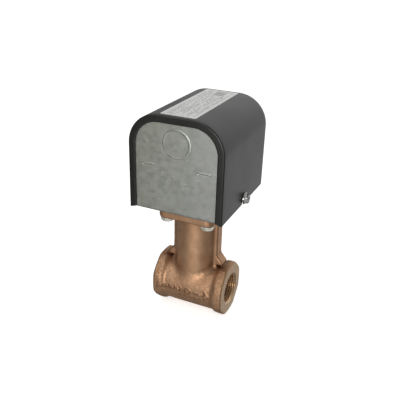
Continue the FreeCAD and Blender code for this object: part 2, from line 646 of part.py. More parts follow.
def fulcrum_bracket():
    """Folded bracket: base, two lugs for the pivot pin and an upturned stop under the lever."""
    bracket = Piece("fulcrum_bracket")
    bracket.add("XY", "floor_top", "base_top",
                box("-fulcrum_back", "-(lug_outer)", "fulcrum_front", "lug_outer"),
                circle("0", "0", "floor_hole_radius - 1"),
                *[circle(x, y, "small_screw_radius + screw_gap") for x, y in FULCRUM_SCREWS])
    for start, end in (("lug_gap / 2", "lug_outer"), ("-(lug_outer)", "-lug_gap / 2")):
        bracket.add("XZ", start, end, box("-lug_radius", "base_top", "lug_radius", "pivot_z"))
        bracket.add("XZ", start, end, circle("0", "pivot_z", "lug_radius"))
        bracket.cut("XZ", start, end, circle("0", "pivot_z", "pin_radius + pin_gap"))
    bracket.add("YZ", "fulcrum_front - sheet_gauge", "fulcrum_front",
                box("-stop_width / 2", "base_top", "stop_width / 2", "lever_z - stop_gap"))


def pivot_pin():
    pin = Piece("pivot_pin")
    pin.add("XZ", "-pin_length / 2", "pin_length / 2", circle("0", "pivot_z", "pin_radius"))
    pin.ease("Chamfer", "pin_radius / 4", lambda edge: near(abs(edge.CenterOfMass.y), "pin_length / 2"))


def pivot_clips():
    """Retaining clips just outside the lugs."""
    clips = Piece("pivot_clips")
    for sign in ("", "-"):
        clips.add("XZ", f"{sign}(lug_outer + screw_gap)", f"{sign}(lug_outer + screw_gap + clip_thickness)",
                  circle("0", "pivot_z", "clip_radius"), circle("0", "pivot_z", "pin_radius + thread_gap"))
        clips.cut("XZ", f"{sign}(lug_outer + screw_gap)", f"{sign}(lug_outer + screw_gap + clip_thickness)",
                  box("-pin_radius * 0.7", "pivot_z - clip_radius - 1", "pin_radius * 0.7", "pivot_z"))


def fulcrum_screws():
    round_screws("fulcrum_screws", FULCRUM_SCREWS, "XY", "base_top", "floor_z - small_screw_bite",
                 "small_screw_radius", "small_head_radius", "small_head_height")


def switch_lever():
    """Flat lever on the hub: it lifts the plunger and carries the spring seat."""
    lever = Piece("switch_lever")
    lever.add("XY", "lever_z", "lever_top",
              polygon(("-lever_back", "-lever_width / 2 - 2", "2"), ("lever_back", "-lever_width / 2 - 2"),
                      ("lever_back + 3", "-lever_width / 2"), ("lever_front", "-lever_width / 2", "2.5"),
                      ("lever_front", "lever_width / 2", "2.5"), ("lever_back + 3", "lever_width / 2"),
                      ("lever_back", "lever_width / 2 + 2"), ("-lever_back", "lever_width / 2 + 2", "2")),
              circle("range_x", "0", "small_screw_radius + thread_gap"),
              *[circle("0", sign + "rivet_y", "rivet_radius") for sign in ("", "-")])


def lever_rivets():
    round_screws("lever_rivets", [("0", "rivet_y"), ("0", "-rivet_y")], "XY", "lever_top",
                 "lever_z - rivet_depth", "rivet_radius", "rivet_head_radius", "rivet_head_height", slot=False)


def spring_seat():
    seat = Piece("spring_seat")
    seat.add("XY", "lever_z", "lever_top", circle("range_x", "0", "small_screw_radius"))
    seat.add("XY", "lever_top", "seat_top", circle("range_x", "0", "seat_radius"))
    seat.add("XY", "seat_top", "seat_top + seat_spigot", circle("range_x", "0", "spigot_radius"))
    seat.ease("Chamfer", "spigot_radius / 5",
              lambda edge: near(edge.CenterOfMass.z, "seat_top + seat_spigot"))


# ---- The enclosure ----

def chassis():
    """One folded sheet: front wall, floor and back wall, with a tab behind each cover screw."""
    tray = Piece("chassis")
    for start, end in (("-(wall_face)", "-(wall_face) + sheet_gauge"),
                       ("wall_face - sheet_gauge", "wall_face")):
        tray.add("XZ", start, end, arch("chassis_half", "floor_z", "wall_top",
                                        "cover_corner - cover_wall - fit_gap"))
    tray.add("XY", "floor_z", "floor_top", box("-(chassis_half)", "-(wall_face)", "chassis_half", "wall_face"))
    for sign in ("", "-"):
        tray.add("YZ", f"{sign}(chassis_half - sheet_gauge)", f"{sign}(chassis_half)",
                 polygon(("cover_screw_y - tab_width / 2", "floor_z"), ("cover_screw_y + tab_width / 2", "floor_z"),
                         ("cover_screw_y + tab_width / 2", "floor_z + tab_height", "3"),
                         ("cover_screw_y - tab_width / 2", "floor_z + tab_height", "3")))
        tray.cut("YZ", f"{sign}(chassis_half - sheet_gauge)", f"{sign}(chassis_half)",
                 circle("cover_screw_y", "cover_screw_z", "cover_screw_radius + thread_gap"))
    for sign in ("", "-"):
        face = f"{sign}(wall_face)"
        crest = f"{sign}(wall_face + knockout_bead)"
        tray.turn("Revolution", "YZ", "0", (("0", "knockout_z"), ("1", "knockout_z")),
                  polygon((face, "knockout_z + knockout_radius"),
                          (crest, "knockout_z + knockout_radius + 0.6 * knockout_bead"),
                          (crest, "knockout_z + knockout_radius + 1.4 * knockout_bead"),
                          (face, "knockout_z + knockout_radius + 2 * knockout_bead")))
        tray.cut("XZ", f"{sign}(wall_face - knockout_cut_depth)", face,
                 circle("0", "knockout_z", "knockout_radius"),
                 circle("0", "knockout_z", "knockout_radius - knockout_cut_width"))
        lances = []
        lips = []
        for side in ("", "-"):
            x = side + "lance_x"
            lances.append(box(f"{x} - lance_length / 2", "lance_z - lance_opening / 2",
                              f"{x} + lance_length / 2", "lance_z + lance_opening / 2"))
            lips.append(box(f"{x} - lance_length / 2", "lance_z + lance_opening / 2",
                            f"{x} + lance_length / 2", "lance_z + lance_opening"))
        tray.cut("XZ", f"{sign}(wall_face - sheet_gauge)", face, *lances)
        tray.add("XZ", face, f"{sign}(wall_face + lance_rise)", *lips)
    tray.cut("XY", "floor_z", "floor_top", circle("0", "0", "floor_hole_radius"),
             circle(*GROUND_SCREW, "small_screw_radius + thread_gap"),
             circle(*RANGE_FOOT_SCREW, "small_screw_radius + thread_gap"),
             *[circle(x, y, "chassis_screw_radius + screw_gap") for x, y in CHASSIS_SCREWS],
             *[circle(x, y, "small_screw_radius + screw_gap") for x, y in FULCRUM_SCREWS + BRACKET_SCREWS])
    tray.ease("Fillet", "sheet_bend", lambda edge: near(edge.CenterOfMass.z, "floor_z")
              and near(abs(edge.CenterOfMass.y), "wall_face") and edge.BoundBox.XLength > 20)
    tray.ease("Fillet", "sheet_bend - sheet_gauge", lambda edge: near(edge.CenterOfMass.z, "floor_top")
              and near(abs(edge.CenterOfMass.y), "wall_face - sheet_gauge") and edge.BoundBox.XLength > 20)


def chassis_screws():
    round_screws("chassis_screws", CHASSIS_SCREWS, "XY", "floor_top", "floor_z - chassis_screw_bite",
                 "chassis_screw_radius", "chassis_head_radius", "chassis_head_height")


def ground_screw():
    screw = Piece("ground_screw")
    x, y = GROUND_SCREW
    crown = "floor_top + 1 + ground_head_height"
    screw.add("XY", "floor_z", "floor_top", circle(x, y, "small_screw_radius"))
    screw.add("XY", "floor_top", "floor_top + 1", circle(x, y, "ground_washer_radius"))
    screw.add("XY", "floor_top + 1", crown, regular(x, y, "ground_head_apothem", 6))
    screw.cut("XY", f"{crown} - driver_slot_depth", crown,
              box(f"{x} - ground_washer_radius", f"{y} - driver_slot / 2",
                  f"{x} + ground_washer_radius", f"{y} + driver_slot / 2"))


def cover():
    """Drawn sheet: an arch with lips turned in at both ends, open below, notched over its screws."""
    shell = Piece("cover")
    half_depth = "cover_depth / 2"
    inner = "cover_depth / 2 - cover_wall"
    top = "floor_z + cover_height"
    shell.add("XZ", f"-{half_depth}", half_depth, arch("cover_width / 2", "floor_z", top, "cover_corner"))
    shell.cut("XZ", f"-({inner})", inner,
              arch("inner_half", "floor_z - 1", "inner_top", "cover_corner - cover_wall"))
    shell.cut("XZ", f"-{half_depth}", half_depth,
              arch("cover_width / 2 - lip_width", "floor_z - 1", f"{top} - lip_width", "cover_corner - lip_width"))
    for sign in ("", "-"):
        shell.cut("XZ", f"-{half_depth}", half_depth,
                  polygon((f"{sign}(cover_width / 2 - lip_width - 1)", "floor_z - 1"),
                          (f"{sign}(inner_half)", "floor_z - 1"), (f"{sign}(inner_half)", "floor_z"),
                          (f"{sign}(cover_width / 2 - lip_width)", "floor_z + lip_clip"),
                          (f"{sign}(cover_width / 2 - lip_width - 1)", "floor_z + lip_clip")))
        start = f"{sign}(inner_half)"
        end = f"{sign}(cover_width / 2)"
        shell.cut("YZ", start, end,
                  box("cover_screw_y - notch_radius", "floor_z - 1",
                      "cover_screw_y + notch_radius", "cover_screw_z"))
        shell.cut("YZ", start, end, circle("cover_screw_y", "cover_screw_z", "notch_radius"))
    shell.ease("Fillet", "cover_edge", lambda edge: near(abs(edge.BoundBox.Center.y), half_depth)
               and edge.BoundBox.YLength < 0.01
               and max(abs(edge.BoundBox.XMin), abs(edge.BoundBox.XMax)) > value("cover_width / 2 - cover_corner - 1")
               and outer_edge(edge))


def outer_edge(edge):
    """Whether an edge lies on the cover's outside arch."""
    middle = edge.valueAt((edge.FirstParameter + edge.LastParameter) / 2)
    half = value("cover_width / 2")
    top = value("floor_z + cover_height")
    radius = value("cover_corner")
    across = abs(middle.x) - (half - radius)
    above = middle.z - (top - radius)
    if across > 0 and above > 0:
        return abs(math.hypot(across, above) - radius) < 1e-3
    return abs(abs(middle.x) - half) < 1e-3 or abs(middle.z - top) < 1e-3


def rating_label():
    label = Piece("rating_label")
    label.add("XY", "floor_z + cover_height", "floor_z + cover_height + label_thickness",
              rounded_box("label_width / 2", "label_depth / 2", "1"))


def cover_screw(label, sign):
    """Slotted hexagon washer-head screw that clamps one side of the cover."""
    screw = Piece(label)
    y, z = "cover_screw_y", "cover_screw_z"
    seat = "cover_width / 2 + fit_gap"
    washer = f"{seat} + cover_screw_washer"
    crown = f"{washer} + cover_screw_head"
    screw.add("YZ", f"{sign}({seat} - cover_screw_length)", f"{sign}({seat})", circle(y, z, "cover_screw_radius"))
    screw.add("YZ", f"{sign}({seat})", f"{sign}({washer})", circle(y, z, "cover_screw_washer_radius"))
    screw.add("YZ", f"{sign}({washer})", f"{sign}({crown})", regular(y, z, "cover_screw_apothem", 6))
    screw.ease("Chamfer", "cover_screw_head / 6", lambda edge: near(abs(edge.CenterOfMass.x), crown))
    screw.cut("YZ", f"{sign}({crown} - driver_slot_depth)", f"{sign}({crown})",
              box(f"{y} - cover_screw_washer_radius", f"{z} - driver_slot / 2",
                  f"{y} + cover_screw_washer_radius", f"{z} + driver_slot / 2"))


# ---- The snap switch ----

SWITCH_SCREWS = [(sign + "switch_screw_y", "switch_screw_z") for sign in ("", "-")]
TERMINALS = [("case_mid", y) for y in ("-terminal_step", "0", "terminal_step")]


def switch_bracket():
    """Upright sheet bridge over the lever, with two legs and two feet."""
    bracket = Piece("switch_bracket")
    bridge = "pivot_z + bracket_rise"
    top = "terminal_z - 1"
    bracket.add("YZ", "bracket_back", "bracket_face",
                polygon(("-(bracket_half)", "floor_top"), ("-(bracket_half) + bracket_leg", "floor_top"),
                        ("-(bracket_half) + bracket_leg", bridge), ("bracket_half - bracket_leg", bridge),
                        ("bracket_half - bracket_leg", "floor_top"), ("bracket_half", "floor_top"),
                        ("bracket_half", top, "3"), ("-(bracket_half)", top, "3")),
                *[circle(y, z, "switch_screw_radius + thread_gap") for y, z in SWITCH_SCREWS])
    for sign in ("", "-"):
        bracket.add("XY", "floor_top", "base_top",
                    box("bracket_back - bracket_foot", f"{sign}(bracket_half - bracket_leg)",
                        "bracket_back", f"{sign}(bracket_half)"))
    bracket.cut("XY", "floor_top", "base_top",
                *[circle(x, y, "small_screw_radius + screw_gap") for x, y in BRACKET_SCREWS])


def bracket_screws():
    round_screws("bracket_screws", BRACKET_SCREWS, "XY", "base_top", "floor_z - small_screw_bite",
                 "small_screw_radius", "small_head_radius", "small_head_height")


def switch_insulator():
    sheet_piece = Piece("switch_insulator")
    sheet_piece.add("YZ", "bracket_face", "case_back",
                    box("-(bracket_half)", "case_z - 1", "bracket_half", "terminal_z + barrier_height"),
                    *[circle(y, z, "switch_screw_radius + screw_gap") for y, z in SWITCH_SCREWS])


def switch_case():
    """Moulded case with the plunger's guide below and two cross holes."""
    case = Piece("switch_case")
    front = "case_back + case_thickness"
    case.add("XY", "case_z", "lid_z", box("case_back", "-case_length / 2", front, "case_length / 2"))
    case.ease("Fillet", "case_edge", lambda edge: edge.BoundBox.ZLength > value("case_height") - 0.1)
    case.add("XY", "case_z - guide_boss_height", "case_z", circle("plunger_x", "0", "guide_boss_radius"))
    case.cut("XY", "case_z - guide_boss_height", "case_z + guide_depth",
             circle("plunger_x", "0", "plunger_radius + plunger_gap"))
    case.cut("YZ", "case_back", front,
             *[circle(y, z, "switch_screw_radius + screw_gap") for y, z in SWITCH_SCREWS])
    case.cut("XY", "lid_z - 3", "lid_z", *[circle(x, y, "terminal_screw_radius + thread_gap") for x, y in TERMINALS])


def switch_lid():
    """Lid of the case with barriers between the terminals."""
    lid = Piece("switch_lid")
    front = "case_back + case_thickness"
    lid.add("XY", "lid_z", "terminal_z", box("case_back", "-case_length / 2", front, "case_length / 2"),
            *[circle(x, y, "terminal_screw_radius + thread_gap") for x, y in TERMINALS])
    bars = [box("case_back", f"{side}terminal_step / 2 - barrier_width / 2", front,
                f"{side}terminal_step / 2 + barrier_width / 2") for side in ("", "-")]
    lid.add("XY", "terminal_z", "terminal_z + barrier_height", *bars)


def switch_plunger():
    """Button of the snap switch, with a round tip over the lever."""
    button = Piece("switch_plunger")
    button.add("XY", "plunger_tip", "pivot_z + plunger_top", circle("plunger_x", "0", "plunger_radius"))
    button.ease("Fillet", "plunger_tip_round", lambda edge: near(edge.CenterOfMass.z, "plunger_tip"))


def terminal_plates():
    plates = Piece("terminal_plates")
    plates.add("XY", "terminal_z", "terminal_z + terminal_thickness",
               *[box(f"{x} - terminal_length / 2", f"{y} - terminal_width / 2",
                     f"{x} + terminal_length / 2", f"{y} + terminal_width / 2") for x, y in TERMINALS],
               *[circle(x, y, "terminal_screw_radius + thread_gap") for x, y in TERMINALS])


def terminal_screws():
    round_screws("terminal_screws", TERMINALS, "XY", "terminal_z + terminal_thickness", "lid_z - 3",
                 "terminal_screw_radius", "terminal_head_radius", "terminal_head_height")


def switch_screws():
    round_screws("switch_screws", SWITCH_SCREWS, "YZ", "case_back + case_thickness", "bracket_back",
                 "switch_screw_radius", "switch_head_radius", "switch_head_height")


# ---- The range adjustment ----

def range_bracket():
    """Folded bracket: foot, upright behind the spring and a top that holds the range screw."""
    bracket = Piece("range_bracket")
    left = "range_x - range_bracket_width / 2"
    right = "range_x + range_bracket_width / 2"
    back = "range_bracket_y + sheet_gauge"
    bracket.add("XZ", "range_bracket_y", back, box(left, "floor_top", right, "range_flange_top"))
    bracket.add("XY", "floor_top", "base_top", box(left, back, right, f"{back} + range_foot"),
                circle(*RANGE_FOOT_SCREW, "small_screw_radius + screw_gap"))
    bracket.add("XY", "range_flange_z", "range_flange_top",
                box(left, "-range_bracket_front", right, "range_bracket_y"),
                circle("range_x", "0", "range_screw_radius + turn_gap"))


def range_bracket_screw():
    round_screws("range_bracket_screw", [RANGE_FOOT_SCREW], "XY", "base_top", "floor_z",
                 "small_screw_radius", "small_head_radius", "small_head_height")


def range_screw():
    """Adjusting screw: slotted hexagon head above the bracket, collar below it, thread for the nut."""
    screw = Piece("range_screw")
    seat = "range_flange_top + turn_gap"
    crown = f"{seat} + range_head_height"
    collar = "range_flange_z - turn_gap"
    screw.add("XY", "pivot_z + range_screw_tip", seat, circle("range_x", "0", "range_screw_radius"))
    screw.add("XY", f"{collar} - range_collar_height", collar, circle("range_x", "0", "range_collar_radius"))
    screw.add("XY", seat, crown, regular("range_x", "0", "range_head_apothem", 6))
    screw.cut("XY", f"{crown} - 1.5 * driver_slot_depth", crown,
              box("range_x - 6", "-driver_slot / 2", "range_x + 6", "driver_slot / 2"))


def spring_nut():
    """Square nut that the bracket's upright keeps from turning."""
    nut = Piece("spring_nut")
    nut.add("XY", "nut_z", "nut_z + nut_thickness",
            box("range_x - nut_width / 2", "-nut_front", "range_x + nut_width / 2", "range_bracket_y - fit_gap"))
    nut.add("XY", "nut_z - nut_spigot", "nut_z", circle("range_x", "0", "spigot_radius"))
    nut.cut("XY", "nut_z - nut_spigot", "nut_z + nut_thickness",
            circle("range_x", "0", "range_screw_radius + thread_gap"))


def range_spring():
    """Compression spring between the lever's seat and the nut.

    Each half turn is half a ring, tilted about the line across it, so that the halves meet
    end to end with one direction. The first and the last half turn lie flat.
    """
    halves = int(2 * value("spring_turns"))
    radius = value("spring_radius")
    bottom = value("seat_top + spring_wire_radius")
    rise = value("nut_z - seat_top - 2 * spring_wire_radius") / (halves - 2)
    rings = []
    for k in range(halves):
        step = 0 if k in (0, halves - 1) else rise
        foot = bottom + rise * min(max(k - 1, 0), halves - 2)
        tilt = math.atan2(step, 2 * radius)
        ring = doc.addObject("Part::Torus", "HalfTurn")
        ring.Radius1 = radius / math.cos(tilt)
        ring.setExpression("Radius2", full("spring_wire_radius"))
        ring.Angle3 = 180
        turned = FreeCAD.Rotation(FreeCAD.Vector(0, 0, 1), 180 * k)
        tilted = FreeCAD.Rotation(FreeCAD.Vector(0, 1, 0), math.degrees(tilt))
        ring.Placement = FreeCAD.Placement(FreeCAD.Vector(value("range_x"), 0, foot + step / 2),
                                           turned.multiply(tilted))
        rings.append(ring)
    spring = doc.addObject("Part::MultiFuse", "range_spring")
    spring.Label = "range_spring"
    spring.Shapes = rings
    PIECES.append(spring)


def build():
    for make in (tee_body, body_gasket, adapter_plate, flange_screws, bellows, paddle_arm, paddle,
                 paddle_screws, fulcrum_bracket, pivot_pin, pivot_clips, fulcrum_screws, switch_lever,
                 lever_rivets, spring_seat, chassis, chassis_screws, ground_screw, cover, rating_label,
                 switch_bracket, bracket_screws, switch_insulator, switch_case, switch_lid,
                 switch_plunger, terminal_plates, terminal_screws, switch_screws, range_bracket,
                 range_bracket_screw, range_screw, spring_nut, range_spring):
        make()
    cover_screw("cover_screw_right", "")
    cover_screw("cover_screw_left", "-")
    doc.removeObject(probe.Name)
    doc.recompute()


def write():
    """Checks every object, then writes one STEP file for each piece."""
    for item in doc.Objects:
        if "Invalid" in item.State or "Error" in item.State:
            raise ValueError(f"{item.Label} failed: {item.State}")
    for piece in PIECES:
        if piece.Shape.isNull() or not piece.Shape.isValid():
            raise ValueError(f"{piece.Label} has no valid shape")
    os.makedirs("parts", exist_ok=True)
    for piece in PIECES:
        piece.Shape.exportStep(f"parts/{piece.Label}.step")
        print(piece.Label, len(piece.Shape.Solids), round(piece.Shape.Volume, 2))


build()
write()
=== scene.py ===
import json
import math

import bmesh
import bpy
import numpy as np
import openvdb
from mathutils import Matrix, Vector


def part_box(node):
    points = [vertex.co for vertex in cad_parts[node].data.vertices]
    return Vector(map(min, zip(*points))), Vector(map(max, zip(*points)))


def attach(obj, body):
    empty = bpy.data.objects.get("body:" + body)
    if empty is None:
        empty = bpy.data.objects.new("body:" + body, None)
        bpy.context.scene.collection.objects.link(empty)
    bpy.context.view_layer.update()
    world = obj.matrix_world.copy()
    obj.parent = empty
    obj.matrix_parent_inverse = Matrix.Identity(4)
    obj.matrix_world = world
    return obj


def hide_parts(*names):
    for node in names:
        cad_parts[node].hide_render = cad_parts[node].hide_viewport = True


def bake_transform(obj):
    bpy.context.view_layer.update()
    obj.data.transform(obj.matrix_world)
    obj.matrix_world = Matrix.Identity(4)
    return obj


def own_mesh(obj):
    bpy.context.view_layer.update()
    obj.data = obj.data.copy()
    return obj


# Looks of a paddle flow switch. Metres, +X with the flow, -Y the front, +Z up; the floor is z = 0.

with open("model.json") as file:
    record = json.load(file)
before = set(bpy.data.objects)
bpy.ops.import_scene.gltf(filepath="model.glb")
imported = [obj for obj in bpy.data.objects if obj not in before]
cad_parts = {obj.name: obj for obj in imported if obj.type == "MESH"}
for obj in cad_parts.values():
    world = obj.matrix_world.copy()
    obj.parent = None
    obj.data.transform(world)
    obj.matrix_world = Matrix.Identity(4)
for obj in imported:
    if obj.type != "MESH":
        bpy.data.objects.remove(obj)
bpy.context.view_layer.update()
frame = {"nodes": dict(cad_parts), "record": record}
NODES = frame["nodes"]
MM = 0.001


def mm(node):
    """Lowest and highest corner of a CAD node, in millimetres."""
    low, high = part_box(node)
    return low / MM, high / MM


def mount_height(name):
    """Height of one of the record's mounts above the floor, in millimetres."""
    return next(m for m in frame["record"]["mounts"] if m["name"] == name)["pos_m"][2] / MM


def screw_spot(node):
    """Centre of a cover screw along the enclosure's depth and height, in millimetres."""
    low, high = mm(node)
    return (low.y + high.y) / 2, (low.z + high.z) / 2


TEE_LOW, TEE_HIGH = mm("tee_body")
COVER_LOW, COVER_HIGH = mm("cover")
TRAY_LOW, TRAY_HIGH = mm("chassis")
PIPE_Z = mount_height("outlet_port")
KNOCKOUT_Z = mount_height("conduit_knockout_front")


# ---- Materials ----

class Finish:
    """A procedural material built on one Principled shader."""

    def __init__(self, name, colour, roughness, metallic=0.0, **sockets):
        self.material = bpy.data.materials.new(name)
        self.material.use_nodes = True
        self.tree = self.material.node_tree
        self.shader = next(n for n in self.tree.nodes if n.type == "BSDF_PRINCIPLED")
        self.place = self.node("ShaderNodeTexCoord").outputs["Object"]
        self.put("Base Color", colour)
        self.put("Roughness", roughness)
        self.put("Metallic", metallic)
        for socket, number in sockets.items():
            self.put(socket.replace("_", " "), number)

    def node(self, kind, **settings):
        made = self.tree.nodes.new(kind)
        for key, setting in settings.items():
            setattr(made, key, setting)
        return made

    def feed(self, socket, source):
        if isinstance(source, bpy.types.NodeSocket):
            self.tree.links.new(source, socket)
        elif isinstance(source, (tuple, list)) and len(source) == 3 and socket.type == "RGBA":
            socket.default_value = (*source, 1.0)
        else:
            socket.default_value = source

    def put(self, name, source):
        self.feed(self.shader.inputs[name], source)

    def noise(self, size, detail=2.0, stretch=None, roughness=0.5, distortion=0.0):
        """Noise whose features are about this many millimetres across."""
        made = self.node("ShaderNodeTexNoise")
        place = self.place
        if stretch:
            place = self.vector("MULTIPLY", place, stretch)
        self.feed(made.inputs["Vector"], place)
        made.inputs["Scale"].default_value = 1 / (size * MM)
        made.inputs["Detail"].default_value = detail
        made.inputs["Roughness"].default_value = roughness
        made.inputs["Distortion"].default_value = distortion
        return made.outputs["Fac"]

    def cells(self, size, feature="F1", output="Distance"):
        made = self.node("ShaderNodeTexVoronoi", feature=feature)
        self.feed(made.inputs["Vector"], self.place)
        made.inputs["Scale"].default_value = 1 / (size * MM)
        return made.outputs[output]

    def vector(self, operation, a, b):
        made = self.node("ShaderNodeVectorMath", operation=operation)
        self.feed(made.inputs[0], a)
        self.feed(made.inputs[1], b)
        return made.outputs["Vector"]

    def axis(self, letter):
        made = self.node("ShaderNodeSeparateXYZ")
        self.feed(made.inputs[0], self.place)
        return made.outputs[letter]

    def attribute(self, name):
        return self.node("ShaderNodeAttribute", attribute_name=name).outputs["Fac"]

    def ramp(self, fac, *stops):
        made = self.node("ShaderNodeValToRGB")
        self.feed(made.inputs["Fac"], fac)
        bar = made.color_ramp
        while len(bar.elements) < len(stops):
            bar.elements.new(0.5)
        for element, (at, colour) in zip(bar.elements, stops):
            element.position = at
            if not isinstance(colour, (tuple, list)):
                colour = (colour, colour, colour)
            element.color = (*colour, 1.0)
        return made.outputs["Color"]

    def mix(self, fac, a, b, blend="MIX"):
        made = self.node("ShaderNodeMix", data_type="RGBA", blend_type=blend)
        self.feed(made.inputs["Factor"], fac)
        colours = [s for s in made.inputs if s.type == "RGBA"]
        self.feed(colours[0], a)
        self.feed(colours[1], b)
        return next(s for s in made.outputs if s.type == "RGBA")

    def math(self, operation, a, b=0.0, clamp=False):
        made = self.node("ShaderNodeMath", operation=operation, use_clamp=clamp)
        self.feed(made.inputs[0], a)
        self.feed(made.inputs[1], b)
        return made.outputs[0]

    def span(self, source, low, high, to_low=0.0, to_high=1.0):
        made = self.node("ShaderNodeMapRange")
        for index, number in enumerate((source, low, high, to_low, to_high)):
            self.feed(made.inputs[index], number)
        return made.outputs[0]

    def within(self, source, low, high, soft):
        """1 between two numbers, 0 outside, with an edge this soft."""
        rise = self.span(source, low - soft, low + soft)
        fall = self.span(source, high + soft, high - soft)
        return self.math("MINIMUM", rise, fall)

    def bump(self, height, depth, strength=1.0):
        """Bump of this many millimetres, on top of any bump already there."""
        made = self.node("ShaderNodeBump")
        made.inputs["Strength"].default_value = strength
        made.inputs["Distance"].default_value = depth * MM
        self.feed(made.inputs["Height"], height)
        normal = self.shader.inputs["Normal"]
        if normal.is_linked:
            self.tree.links.new(normal.links[0].from_socket, made.inputs["Normal"])
        self.tree.links.new(made.outputs["Normal"], normal)


def cast_bronze():
    """Sand-cast skin with painted shade in its hollows, a painted highlight on the raised marks, darker round the
    marks' edges, threads painted lighter for light inside the ports, and bare metal where it is machined.
    """
    skin = Finish("cast_bronze", (0.4, 0.25, 0.16), 0.5, 0.85, Specular_IOR_Level=0.5)
    blotch = skin.noise(9.0, 3.0)
    grain = skin.noise(0.9, 3.0, roughness=0.6)
    cast = skin.ramp(blotch, (0.3, (0.43, 0.245, 0.138)), (0.55, (0.50, 0.298, 0.175)),
                     (0.8, (0.555, 0.345, 0.21)))
    sandy = skin.attribute("sandy")
    worn = skin.math("MULTIPLY", skin.span(grain, 0.38, 0.72, 0.0, 0.5), sandy)
    cast = skin.mix(worn, cast, (0.25, 0.115, 0.052))
    # Painted highlight: the raised foundry marks are painted lighter, as if catching the light.
    cast = skin.mix(skin.math("MULTIPLY", skin.attribute("painted_mark_highlight"), 0.4), cast, (0.70, 0.44, 0.29))
    cast = skin.mix(skin.math("MULTIPLY", skin.attribute("edge"), 0.85), cast, (0.13, 0.05, 0.02))
    # Painted shade: the skin is darkened in hollows, creases and under ledges, from the casting's ambient
    # occlusion.
    cast = skin.mix(skin.attribute("painted_shade"), cast, (0.115, 0.048, 0.019))
    tool = skin.ramp(skin.noise(2.5, 2.0), (0.3, (0.41, 0.250, 0.125)), (0.7, (0.48, 0.308, 0.160)))
    # Painted light: the port threads are painted lighter, for light reflected inside the bore.
    tool = skin.mix(skin.attribute("inside"), tool, (0.64, 0.43, 0.25))
    machined = skin.attribute("machined")
    skin.put("Base Color", skin.mix(machined, cast, tool))
    rough = skin.mix(machined, skin.ramp(grain, (0.3, 0.36), (0.7, 0.55)), (0.27, 0.27, 0.27))
    skin.put("Roughness", rough)
    uneven = skin.math("MULTIPLY", sandy, skin.math("SUBTRACT", 1.0, machined))
    skin.bump(skin.math("MULTIPLY", grain, uneven), 0.26, 0.8)
    skin.bump(skin.math("MULTIPLY", skin.noise(0.3, 2.0), uneven), 0.09, 0.6)
    return skin.material


def plain_metal(name, dark, light, roughness, grain=0.6, stretch=None, scratch=0.03, metallic=1.0):
    """Plated or machined metal: two tones of one colour, uneven gloss and fine scratches."""
    metal = Finish(name, light, roughness, metallic)
    cloud = metal.noise(4.0, 3.0)
    fine = metal.noise(grain, 2.0, stretch)
    metal.put("Base Color", metal.ramp(cloud, (0.3, dark), (0.7, light)))
    metal.put("Roughness", metal.span(fine, 0.3, 0.7, roughness * 0.8, roughness * 1.25))
    metal.bump(fine, scratch, 0.7)
    return metal.material


def galvanised():
    """Zinc spangle and cloudy tone with specks, scuffs and a stain at the left."""
    sheet = Finish("galvanised_sheet", (0.3, 0.3, 0.29), 0.5, 0.9)
    spangle = sheet.cells(3.2, output="Color")
    tone = sheet.node("ShaderNodeRGBToBW")
    sheet.feed(tone.inputs[0], spangle)
    tone = tone.outputs[0]
    cloud = sheet.noise(7.0, 4.0, roughness=0.6)
    speck = sheet.noise(0.7, 3.0, roughness=0.7)
    colour = sheet.ramp(cloud, (0.3, (0.345, 0.356, 0.326)), (0.5, (0.366, 0.375, 0.350)),
                        (0.72, (0.388, 0.39, 0.374)))
    colour = sheet.mix(sheet.span(tone, 0.2, 0.8, 0.0, 0.10), colour, (0.56, 0.56, 0.56))
    colour = sheet.mix(sheet.span(speck, 0.62, 0.78, 0.0, 0.45), colour, (0.66, 0.65, 0.61))
    colour = sheet.mix(sheet.span(speck, 0.36, 0.26, 0.0, 0.35), colour, (0.24, 0.24, 0.21))
    scuff = sheet.noise(1.6, 1.0, (0.28, 1.0, 1.0))
    colour = sheet.mix(sheet.span(scuff, 0.70, 0.76, 0.0, 0.4), colour, (0.66, 0.65, 0.60))
    left = sheet.span(sheet.axis("X"), 0.018, -0.034, 0.0, 0.8)
    stain = sheet.span(sheet.noise(16.0, 2.0, (1.0, 1.0, 0.4)), 0.3, 0.6, 0.35, 1.0)
    colour = sheet.mix(sheet.math("MULTIPLY", left, stain), colour, (0.32, 0.332, 0.264))
    sheet.put("Base Color", colour)
    sheet.put("Roughness", sheet.span(sheet.math("ADD", tone, cloud), 0.7, 1.3, 0.42, 0.56))
    sheet.bump(cloud, 0.06, 0.25)
    sheet.bump(speck, 0.05, 0.35)
    return sheet.material


def enamel():
    """Near-black semi-gloss paint with a little orange peel."""
    paint = Finish("black_enamel", (0.006, 0.006, 0.0058), 0.3, 0.0, IOR=1.5)
    cloud = paint.noise(30.0, 2.0)
    peel = paint.noise(1.4, 2.0)
    paint.put("Base Color", paint.ramp(cloud, (0.3, (0.0052, 0.0062, 0.0048)), (0.7, (0.0085, 0.0092, 0.0076))))
    paint.put("Roughness", paint.span(cloud, 0.3, 0.7, 0.28, 0.36))
    paint.bump(peel, 0.03, 0.35)
    paint.bump(cloud, 0.6, 0.12)
    return paint.material


